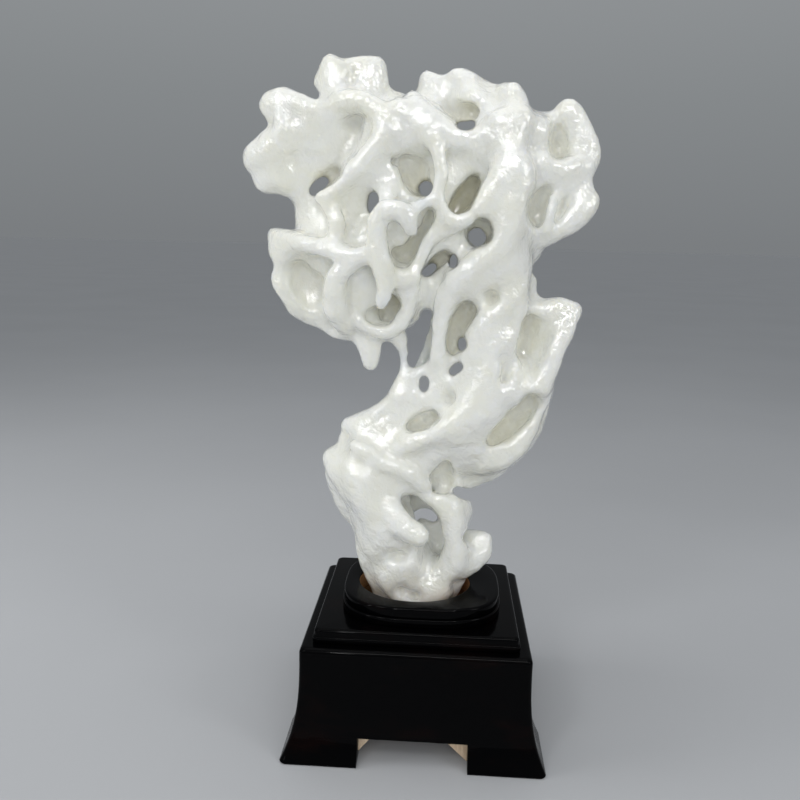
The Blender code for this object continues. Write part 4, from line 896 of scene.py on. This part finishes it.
@dataclass
class CarvedStone:
    """The stone: limbs melted together, hollows taken out, edges softened, skin polished."""

    view: FrontView
    axis_x: float
    socket: Socket
    voxel: float = 1.7
    close: float = 1.7              # crevices narrower than twice this are filled
    soften_rims: int = 13
    plump: float = 0.9              # gives the ridges back what softening takes
    soften: int = 7
    floor: float = 66.0             # the foot stands on the body, inside the collar
    ball_rounds: int = 3            # how often a ball's first faces are divided
    bar_sides: int = 24
    wave: float = 0.9               # height of the slow waves in the skin
    wave_size: float = 15.0
    tool_wave: float = 0.28         # height of the small marks of the polishing tool
    tool_wave_size: float = 5.0
    deepest: float = 16.0           # a hollow this deep has its full painted shade
    lean: float = 20.0              # stone thinner than this lets light through and is painted greyer
    even_out: int = 14              # rounds of evening out the numbers on the skin

    def add_ball(self, bm: BMesh, ball: Ball) -> None:
        """Add a ball to a mesh."""
        bmesh.ops.create_icosphere(
            bm, subdivisions=self.ball_rounds, radius=ball[1], matrix=Matrix.Translation(ball[0]))

    def add_bar(self, bm: BMesh, start: Ball, end: Ball) -> None:
        """Add the round bar between two balls.

        Args:
            bm: The mesh that takes the bar.
            start: Ball at one end.
            end: Ball at the other.
        """
        along = end[0] - start[0]
        if along.length < TOUCH:
            return
        turn = along.to_track_quat("Z", "Y").to_matrix().to_4x4()
        bmesh.ops.create_cone(
            bm, cap_ends=True, segments=self.bar_sides, radius1=start[1], radius2=end[1],
            depth=along.length, matrix=Matrix.Translation((start[0] + end[0]) / 2) @ turn)

    def chains(self, chains: dict[str, tuple[Place, ...]]) -> BMesh:
        """Lay out chains of stone as balls and bars that overlap.

        Args:
            chains: Places along each chain, by name.

        Returns:
            The chains, in mm.
        """
        bm = bmesh.new()
        for chain in chains.values():
            balls = [self.view.ball(u, v, radius, depth) for u, v, depth, radius in chain]
            for ball in balls:
                self.add_ball(bm, ball)
            for start, end in zip(balls, balls[1:]):
                self.add_bar(bm, start, end)
        return bm

    def hollows(self, hollows: dict[str, Hollow]) -> BMesh:
        """Lay out hollows as bars from mouth to floor, joined along each chain.

        Args:
            hollows: Depths, widening and mouths of each hollow, by name.

        Returns:
            The hollows, in mm.
        """
        bm = bmesh.new()
        for mouth, floor, widening, places in hollows.values():
            tops = [self.view.ball(u, v, radius, mouth) for u, v, radius in places]
            bottoms = [self.view.ball(u, v, radius * widening, floor) for u, v, radius in places]
            for top, bottom in zip(tops, bottoms):
                self.add_ball(bm, top)
                self.add_ball(bm, bottom)
                self.add_bar(bm, top, bottom)
            for row in (tops, bottoms):
                for start, end in zip(row, row[1:]):
                    self.add_bar(bm, start, end)
        return bm

    def carve(self) -> tuple[bpy.types.Mesh, BVHTree]:
        """Melt, cut and soften.

        Returns:
            The carved mesh, and the rough's skin before any hollow was taken out.
        """
        rough = helper_object("rough_stone", self.chains(LIMBS))
        hollows = helper_object("hollows", self.hollows(HOLLOWS))
        ridges = helper_object("ridges", self.chains(RIDGES))
        windows = helper_object("windows", self.hollows(WINDOWS))
        for item in (rough, hollows, ridges, windows):
            fuse(item, self.voxel)
        for amount in (self.close, -self.close):
            swell(rough, amount)
            fuse(rough, self.voxel)
        whole = finished_mesh(rough)
        skin = BVHTree.FromPolygons([vert.co.copy() for vert in whole.vertices],
                                    [tuple(face.vertices) for face in whole.polygons])
        bpy.data.meshes.remove(whole)
        combine(rough, hollows, "DIFFERENCE", "MANIFOLD")
        fuse(rough, self.voxel)
        soften(rough, self.soften_rims)
        swell(rough, self.plump)
        combine(rough, ridges, "UNION", "MANIFOLD")
        combine(rough, windows, "DIFFERENCE", "MANIFOLD")
        fuse(rough, self.voxel)
        soften(rough, self.soften)
        for name, size, height in (("slow_waves", self.wave_size, self.wave),
                                   ("tool_waves", self.tool_wave_size, self.tool_wave)):
            clouds = bpy.data.textures.new(name, "CLOUDS")
            clouds.noise_scale = size * MM
            clouds.noise_depth = 1
            waves = rough.modifiers.new(name, "DISPLACE")
            waves.texture = clouds
            waves.texture_coords = "LOCAL"
            waves.strength = 2.0 * height * MM
            waves.mid_level = 0.5
        carved = finished_mesh(rough)
        discard(rough, hollows, ridges, windows)
        return carved, skin

    def keep_largest(self, bm: BMesh) -> None:
        """Delete loose crumbs, so that one body is left.

        Args:
            bm: The stone's mesh.
        """
        left, bodies = set(bm.verts), []
        while left:
            body, rim = set(), [left.pop()]
            while rim:
                vert = rim.pop()
                body.add(vert)
                near = {edge.other_vert(vert) for edge in vert.link_edges} & left
                left -= near
                rim.extend(near)
            bodies.append(body)
        bodies.sort(key=len)
        bmesh.ops.delete(bm, geom=[v for body in bodies[:-1] for v in body], context="VERTS")

    def seat(self, bm: BMesh) -> None:
        """Level the foot's underside and keep its sides clear of the socket's wall.

        Args:
            bm: The stone's mesh, in metres.
        """
        made = bmesh.ops.bisect_plane(
            bm, geom=everything(bm), plane_co=(0.0, 0.0, self.floor * MM),
            plane_no=(0.0, 0.0, -1.0), clear_outer=True)
        bmesh.ops.holes_fill(bm, edges=cut_edges(made))
        socket = self.socket
        centre = Vector((*socket.centre, 0.0)) * MM
        rim = (socket.top + socket.clearance) * MM
        for vert in bm.verts:
            above = max(0.0, vert.co.z - rim)
            if above < socket.taper * MM:
                offset = vert.co - centre
                room = [(half - socket.clearance) * MM + above for half in socket.half]
                reach = math.hypot(offset.x / room[0], offset.y / room[1])
                if reach > 1.0:
                    vert.co.x = centre.x + offset.x / reach
                    vert.co.y = centre.y + offset.y / reach

    def mark_hollows(self, mesh: bpy.types.Mesh, skin: BVHTree) -> None:
        """Write on every point how deep it lies under the rough's skin, from 0 to 1, for the
        painted shade.

        Args:
            mesh: The carved mesh.
            skin: The rough's skin before it was carved.
        """
        depths = []
        for vert in mesh.vertices:
            spot, normal, _, distance = skin.find_nearest(vert.co)
            inside = (vert.co - spot).dot(normal) < 0.0
            depths.append(min(1.0, distance / (self.deepest * MM)) if inside else 0.0)
        self.write_share(mesh, "hollow_shade_depth", depths)

    def write_share(self, mesh: bpy.types.Mesh, name: str, share: list[float]) -> None:
        """Even a number out along the mesh's edges and keep it on the points.

        Args:
            mesh: The mesh.
            name: Name of the attribute.
            share: The number at each point.
        """
        ends = np.empty(2 * len(mesh.edges), dtype=np.int32)
        mesh.edges.foreach_get("vertices", ends)
        start, end = ends[0::2], ends[1::2]
        count = len(share)
        near = np.bincount(start, minlength=count) + np.bincount(end, minlength=count)
        values = np.array(share)
        for _ in range(self.even_out):
            total = (np.bincount(start, values[end], count)
                     + np.bincount(end, values[start], count))
            values = 0.5 * values + 0.5 * total / np.maximum(near, 1)
        mesh.attributes.new(name, "FLOAT", "POINT").data.foreach_set("value", values)

    def mark_thin(self, mesh: bpy.types.Mesh) -> None:
        """Write on every point how thin the stone is behind it, from 0 to 1, for the painted
        shade.

        Args:
            mesh: The carved mesh.
        """
        points = [vert.co.copy() for vert in mesh.vertices]
        skin = BVHTree.FromPolygons(points, [tuple(face.vertices) for face in mesh.polygons])
        reach, share = self.lean * MM, []
        for point, normal in zip(points, mesh.vertex_normals):
            inward = -normal.vector
            through = skin.ray_cast(point + inward * 0.3 * MM, inward, reach)[3]
            share.append(1.0 - through / reach if through else 0.0)
        self.write_share(mesh, "thinness", share)

    def build(self, finish: MilkyStone) -> Item:
        """Carve the stone and dress it.

        Args:
            finish: The stone's finish.

        Returns:
            The finished piece.
        """
        carved, skin = self.carve()
        bm = bmesh.new()
        bm.from_mesh(carved)
        self.keep_largest(bm)
        self.seat(bm)
        bmesh.ops.recalc_face_normals(bm, faces=bm.faces)
        bm.to_mesh(carved)
        bm.free()
        self.mark_hollows(carved, skin)
        self.mark_thin(carved)
        carved.materials.clear()
        carved.materials.append(finish.material())
        stone = new_item("carved_stone", carved)
        return finish_piece(stone, "stone", "stone", smooth_angle=180.0, axis_x=self.axis_x)


# ------------------------------------------------------------------------------------- stand
@dataclass(frozen=True)
class Socket:
    """The oval hole that the stone's foot stands in."""

    centre: Pair = (-3.0, -6.0)
    half: Pair = (33.6, 30.0)
    top: float = 86.0
    clearance: float = 1.6
    taper: float = 10.0             # height over the collar in which the foot may widen


@dataclass(frozen=True)
class Bracket:
    """A corner of an arch: length along the arch's top, and drop down its side."""

    length: float
    drop: float


def profiled_block(width: float, depth: float, corner: float, steps: tuple) -> BMesh:
    """Make a rectangular block whose sides follow a profile.

    Args:
        width: Size left to right where the offset is 0.
        depth: Size front to back there.
        corner: Radius of the upright corners.
        steps: (outward offset, height) up the side, from the bottom to the top.

    Returns:
        The block, in mm.
    """
    bm = bmesh.new()
    add_box(bm, Vector((-width / 2, -depth / 2, steps[0][1])),
            Vector((width / 2, depth / 2, steps[-1][1])))
    for _, height in steps[1:-1]:
        bmesh.ops.bisect_plane(
            bm, geom=everything(bm), plane_co=(0.0, 0.0, height), plane_no=(0.0, 0.0, 1.0))
    upright = [edge for edge in bm.edges
               if abs(edge.verts[0].co.z - edge.verts[1].co.z) > TOUCH
               and abs(edge.verts[0].co.x) > width / 2 - TOUCH]
    bmesh.ops.bevel(bm, geom=upright, offset=corner, segments=8, profile=0.5, affect="EDGES",
                    material=-1)
    for vert in bm.verts:
        offset = min(steps, key=lambda step: abs(step[1] - vert.co.z))[0]
        vert.co.x *= 1.0 + 2.0 * offset / width
        vert.co.y *= 1.0 + 2.0 * offset / depth
    return bm


def rounded_edge(inset: float, height: float, radius: float, count: int) -> tuple:
    """Steps of (offset, height) over a rounded upper edge.

    Args:
        inset: Offset of the side below the edge.
        height: Height of the top face.
        radius: Radius of the rounding.
        count: Number of steps.

    Returns:
        The steps, from the side to the top.
    """
    turns = [math.radians(90.0 * step / count) for step in range(count + 1)]
    return tuple((inset + radius * (math.cos(turn) - 1.0),
                  height - radius + radius * math.sin(turn)) for turn in turns)


@dataclass
class FlaredBody:
    """The stand's body: a hollow box whose sides spread into four bracket feet."""

    axis_x: float
    width: float = 130.0
    depth: float = 120.5
    height: float = 65.7
    spread: float = 10.2
    power: float = 3.4
    corner: float = 3.0
    edge: float = 3.0
    wall: float = 13.0
    top_board: float = 16.0
    arch_height: float = 15.1
    arch_front: float = 61.9
    arch_side: float = 56.0
    setback: float = 6.0
    below: float = 5.0              # how far the cutters reach under the table top
    wear: float = 0.45              # rounding of the worn edges
    worn_angle: float = 50.0        # edges sharper than this are worn, in degrees
    right: Bracket = Bracket(15.0, 14.6)
    left: Bracket = Bracket(9.5, 11.6)

    def flare(self, height: float) -> float:
        """How far the side stands out at a height over the table."""
        return self.spread * max(0.0, 1.0 - height / self.height) ** self.power

    def profile(self) -> tuple:
        """Work out the shape of the side.

        Returns:
            Steps of (offset, height), from the bottom to the top.
        """
        levels = [1.0, *(2.5 * step for step in range(1, 25))]
        steps = [(self.flare(0.0) - 1.0, 0.0)]
        steps += [(self.flare(z), z) for z in levels if z < self.height - self.edge]
        return (*steps, *rounded_edge(0.0, self.height, self.edge, 8))

    def passage(self, turned: bool) -> BMesh:
        """Shape the passage between two opposite arches, with brackets in its corners.

        Args:
            turned: True for the side arches, which are turned into place later.

        Returns:
            The cutter, in mm.
        """
        width = self.arch_side if turned else self.arch_front
        half, far = width / 2, (self.width if turned else self.depth) / 2 + 2 * self.spread
        bm = bmesh.new()
        add_box(bm, Vector((-half, -far, -self.below)), Vector((half, far, self.arch_height)))
        for side, bracket in ((-1.0, self.left), (1.0, self.left if turned else self.right)):
            made = bmesh.ops.bisect_plane(
                bm, geom=everything(bm), clear_outer=True,
                plane_co=(side * (half - bracket.length), 0.0, self.arch_height),
                plane_no=(side * bracket.drop, 0.0, bracket.length))
            filled = bmesh.ops.holes_fill(bm, edges=cut_edges(made))
            for face in filled["faces"]:
                face.material_index = WoodTone.BRACKET.value
        return bm

    def slots(self, turned: bool) -> BMesh:
        """Shape the plain slots at both faces, which stop at the brackets behind the face.

        Args:
            turned: True for the side arches, which are turned into place later.

        Returns:
            The cutter, in mm.
        """
        width = self.arch_side if turned else self.arch_front
        span = self.width if turned else self.depth
        half, far = width / 2, span / 2 + 2 * self.spread
        step = span / 2 + self.flare(self.arch_height) - self.setback
        bm = bmesh.new()
        for near, outer in ((-far, -step), (step, far)):
            for face in add_box(bm, Vector((-half, near, -self.below)),
                                Vector((half, outer, self.arch_height))):
                inner = abs(abs(face.calc_center_median().y) - step) < TOUCH
                face.material_index = WoodTone.BRACKET.value if inner else 0
        return bm

    def build(self, finishes: StandFinishes) -> Item:
        """Build the body and dress it.

        Args:
            finishes: The stand's materials.

        Returns:
            The finished piece.
        """
        body = helper_object("lacquered_body", profiled_block(
            self.width, self.depth, self.corner, self.profile()))
        finishes.dress(body)
        tools = []
        bm = bmesh.new()
        half_x, half_y = self.width / 2 - self.wall, self.depth / 2 - self.wall
        for face in add_box(bm, Vector((-half_x, -half_y, -self.below)),
                            Vector((half_x, half_y, self.height - self.top_board))):
            face.material_index = WoodTone.SOCKET.value
        tools.append(helper_object("underside", bm))
        for turned in (False, True):
            for name, bm in (("passage", self.passage(turned)), ("slots", self.slots(turned))):
                if turned:
                    bmesh.ops.rotate(bm, verts=bm.verts, matrix=Matrix.Rotation(
                        math.radians(90.0), 3, "Z"))
                tools.append(helper_object(f"{name}_{int(turned)}", bm))
        for tool in tools:
            finishes.cut(body, tool)
        worn = body.modifiers.new("worn_edges", "BEVEL")
        worn.width = self.wear * MM
        worn.segments = 2
        worn.limit_method = "ANGLE"
        worn.angle_limit = math.radians(self.worn_angle)
        worn.harden_normals = False
        return finish_piece(body, "stand_body", "stand_body", smooth_angle=32.0,
                            axis_x=self.axis_x, tools=tuple(tools))


@dataclass
class StepPlate:
    """The stepped plate on the body, with the socket through it."""

    axis_x: float
    socket: Socket
    base: float = 66.0
    top: float = 74.3
    width: float = 115.4
    depth: float = 105.9
    corner: float = 3.0
    lip: float = 0.8
    hole_sides: int = 128
    hole_depth: float = 30.0        # length of the cutter that makes the hole

    def profile(self) -> tuple:
        """Work out the shape of the edge: a proud lower bead and a rounded upper one.

        Returns:
            Steps of (offset, height), from the bottom to the top.
        """
        bead = ((self.lip - 0.6, self.base), (self.lip - 0.2, self.base + 0.25),
                (self.lip, self.base + 0.8))
        bead += rounded_edge(self.lip, self.base + 3.9, 0.7, 5)
        return (*bead, (0.0, self.base + 4.0), *rounded_edge(0.0, self.top, 1.9, 8))

    def build(self, finishes: StandFinishes) -> Item:
        """Build the plate and dress it.

        Args:
            finishes: The stand's materials.

        Returns:
            The finished piece.
        """
        plate = helper_object("lacquered_plate", profiled_block(
            self.width, self.depth, self.corner, self.profile()))
        finishes.dress(plate)
        bm = bmesh.new()
        bmesh.ops.create_cone(bm, cap_ends=True, segments=self.hole_sides, radius1=1.0,
                              radius2=1.0, depth=self.hole_depth)
        for face in bm.faces:
            face.material_index = WoodTone.SOCKET.value
        bmesh.ops.scale(bm, vec=(*self.socket.half, 1.0), verts=bm.verts)
        bmesh.ops.translate(bm, vec=(*self.socket.centre, self.top), verts=bm.verts)
        tool = helper_object("socket_hole", bm)
        finishes.cut(plate, tool)
        return finish_piece(plate, "step_plate", "step_plate", smooth_angle=40.0,
                            axis_x=self.axis_x, tools=(tool,))


@dataclass
class OvalCollar:
    """The collar of two bands round the socket."""

    axis_x: float
    socket: Socket
    centre: Pair = (1.5, -5.0)
    half: Pair = (46.6, 41.0)
    power: float = 3.0
    base: float = 74.6
    band: float = 6.2
    groove: float = 1.0
    steps: int = 160

    def build(self, finishes: StandFinishes) -> Item:
        """Turn the section into a ring, then press its walls into the two ovals.

        Args:
            finishes: The stand's materials.

        Returns:
            The finished piece.
        """
        top, groove = self.socket.top, self.socket.top - self.band
        wall = [(0.1, self.base), (0.5, self.base + 0.15), (0.8, self.base + 0.6)]
        wall += [*rounded_edge(0.8, groove - 0.05, 1.0, 5), (-self.groove, groove),
                 (-0.5, groove + 0.12), (-0.15, groove + 0.4), (0.0, groove + 0.9)]
        wall += rounded_edge(0.0, top, 1.5, 7)
        inner = [(0.7, top), (0.3, top - 0.15), (0.06, top - 0.45), (0.0, top - 0.8),
                 (0.0, self.base)]
        near, far = self.socket.half[0], self.half[0]
        bm = bmesh.new()
        section = [bm.verts.new((far + out, 0.0, z)) for out, z in wall]
        section += [bm.verts.new((near + out, 0.0, z)) for out, z in inner]
        edges = [bm.edges.new(pair) for pair in zip(section, section[1:] + section[:1])]
        bmesh.ops.spin(bm, geom=section + edges, cent=(0.0, 0.0, 0.0), axis=(0.0, 0.0, 1.0),
                       angle=math.tau, steps=self.steps, use_merge=True)
        middle = (near + far) / 2
        for face in bm.faces:
            spot = face.calc_center_median()
            bare = math.hypot(spot.x, spot.y) < near + 0.02 and spot.z < top - 0.8
            face.material_index = WoodTone.SOCKET.value if bare else 0
        for vert in bm.verts:
            radius, angle = math.hypot(vert.co.x, vert.co.y), math.atan2(vert.co.y, vert.co.x)
            if radius > middle:
                out, centre, half, power = radius - far, self.centre, self.half, self.power
            else:
                out, centre, half, power = radius - near, self.socket.centre, self.socket.half, 2.0
            vert.co.xy = squarish_oval(
                angle, Vector(centre), Vector((half[0] + out, half[1] + out)), power)
        collar = helper_object("lacquered_collar", bm)
        finishes.dress(collar)
        return finish_piece(collar, "collar", "collar", smooth_angle=40.0, axis_x=self.axis_x)


# ------------------------------------------------------------------------------------ studio
class Glow(Enum):
    """What a light does: light surfaces, leave its reflection on glossy ones, or both."""

    BOTH = 1
    SHADE = 2
    GLINT = 3


@dataclass(frozen=True)
class SoftBox:
    """One soft light: where it hangs and what it aims at in metres, its size and its power."""

    name: str
    place: Triple
    aim: Triple
    size: Pair
    power: float
    glow: Glow = Glow.BOTH

    def hang(self) -> None:
        """Add the light to the scene."""
        light = bpy.data.lights.new(self.name, "AREA")
        light.shape = "RECTANGLE"
        light.size, light.size_y = self.size
        light.energy = self.power
        item = new_item(self.name, light)
        item.visible_glossy = self.glow is not Glow.SHADE
        item.visible_diffuse = self.glow is not Glow.GLINT
        item.location = self.place
        aim = Vector(self.aim) - item.location
        item.rotation_euler = aim.to_track_quat("-Z", "Y").to_euler()


@dataclass
class Studio:
    """A pale floor, soft light, a grey surround and the camera."""

    view: FrontView
    axis_x: float
    floor_radius: float = 30.0
    sky: tuple[tuple[float, Triple], ...] = (
        (0.0, (0.197, 0.2075, 0.217)), (0.16, (0.235, 0.249, 0.258)), (0.6, (0.38, 0.394, 0.409)))
    boxes: tuple[SoftBox, ...] = (
        SoftBox("key_box", (-0.50, -0.80, 0.95), (0.0, 0.0, 0.24), (0.20, 0.20), 1.4),
        SoftBox("side_box", (0.80, -0.50, 0.65), (0.0, 0.0, 0.22), (0.25, 0.35), 1.5),
        SoftBox("top_box", (0.0, 0.10, 1.25), (0.0, 0.0, 0.10), (1.2, 1.0), 2.6),
        SoftBox("left_box", (-1.00, -0.10, 0.55), (0.0, 0.0, 0.22), (0.6, 0.6), 3.9, Glow.SHADE),
        SoftBox("front_box", (0.05, -1.30, 0.55), (0.0, 0.0, 0.22), (1.6, 0.9), 7.5, Glow.SHADE),
        SoftBox("top_strip", (0.05, -0.85, 1.05), (0.0, 0.0, 0.24), (0.6, 0.06), 2.4, Glow.GLINT),
        SoftBox("left_strip", (-0.85, -0.75, 0.6), (0.0, 0.0, 0.24), (0.06, 0.5), 1.2, Glow.GLINT),
        SoftBox("left_spark", (-0.25, -1.1, 0.85), (0.0, 0.0, 0.24), (0.05, 0.05), 0.9,
                Glow.GLINT),
        SoftBox("right_spark", (0.4, -0.9, 1.1), (0.0, 0.0, 0.24), (0.05, 0.05), 0.9, Glow.GLINT),
    )

    def lay_floor(self, finish: PaleFloor) -> None:
        """Lay the floor under the feet.

        Args:
            finish: The floor's finish.
        """
        bm = bmesh.new()
        bmesh.ops.create_circle(bm, cap_ends=True, segments=96, radius=self.floor_radius)
        mesh = bpy.data.meshes.new("floor")
        bm.to_mesh(mesh)
        bm.free()
        mesh.materials.append(finish.material())
        floor = new_item("floor", mesh)

    def surround(self) -> None:
        """Light the scene from all round, darker near the horizon than overhead."""
        world = bpy.data.worlds.new("grey_surround")
        bpy.context.scene.world = world
        world.use_nodes = True
        tree = world.node_tree
        place = tree.nodes.new("ShaderNodeTexCoord").outputs["Generated"]
        split = tree.nodes.new("ShaderNodeSeparateXYZ")
        tree.links.new(place, split.inputs["Vector"])
        ramp = tree.nodes.new("ShaderNodeValToRGB")
        tree.links.new(split.outputs["Z"], ramp.inputs["Fac"])
        ramp.color_ramp.elements.new(0.5)
        for stop, (height, tone) in zip(ramp.color_ramp.elements, self.sky):
            stop.position, stop.color = height, (*tone, 1.0)
        tree.links.new(ramp.outputs["Color"], tree.nodes["Background"].inputs["Color"])
        tree.nodes["Background"].inputs["Strength"].default_value = 1.0

    def set_camera(self) -> None:
        """Stand the camera at the front view's point."""
        right, up, forward = self.view.axes()
        spot = (self.view.point + Vector((self.axis_x, 0.0, 0.0))) * MM
        lens = bpy.data.cameras.new("camera")
        lens.lens, lens.sensor_width = 36.0, 36.0
        lens.clip_start, lens.clip_end = 0.01, 50.0
        camera = new_item("camera", lens)
        camera.matrix_world = Matrix.Translation(spot) @ Matrix(
            (right, up, -forward)).transposed().to_4x4()
        bpy.context.scene.camera = camera

    def build(self) -> None:
        """Set up everything around the object."""
        self.lay_floor(PaleFloor())
        self.surround()
        for box in self.boxes:
            box.hang()
        self.set_camera()
        bpy.context.scene.view_settings.view_transform = "Standard"


# -------------------------------------------------------------------------------------- main
def main() -> None:
    """Build the stone and the stand, dress them and light them."""
    logging.basicConfig(level=logging.INFO, format="%(name)s %(message)s")
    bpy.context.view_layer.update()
    view, socket = FrontView(Vector(VIEWPOINT)), Socket()
    CarvedStone(view, AXIS_X, socket).build(MilkyStone())
    finishes = StandFinishes.mixed()
    FlaredBody(AXIS_X).build(finishes)
    StepPlate(AXIS_X, socket).build(finishes)
    OvalCollar(AXIS_X, socket).build(finishes)
    Studio(view, AXIS_X).build()


if __name__ == "__main__":
    main()
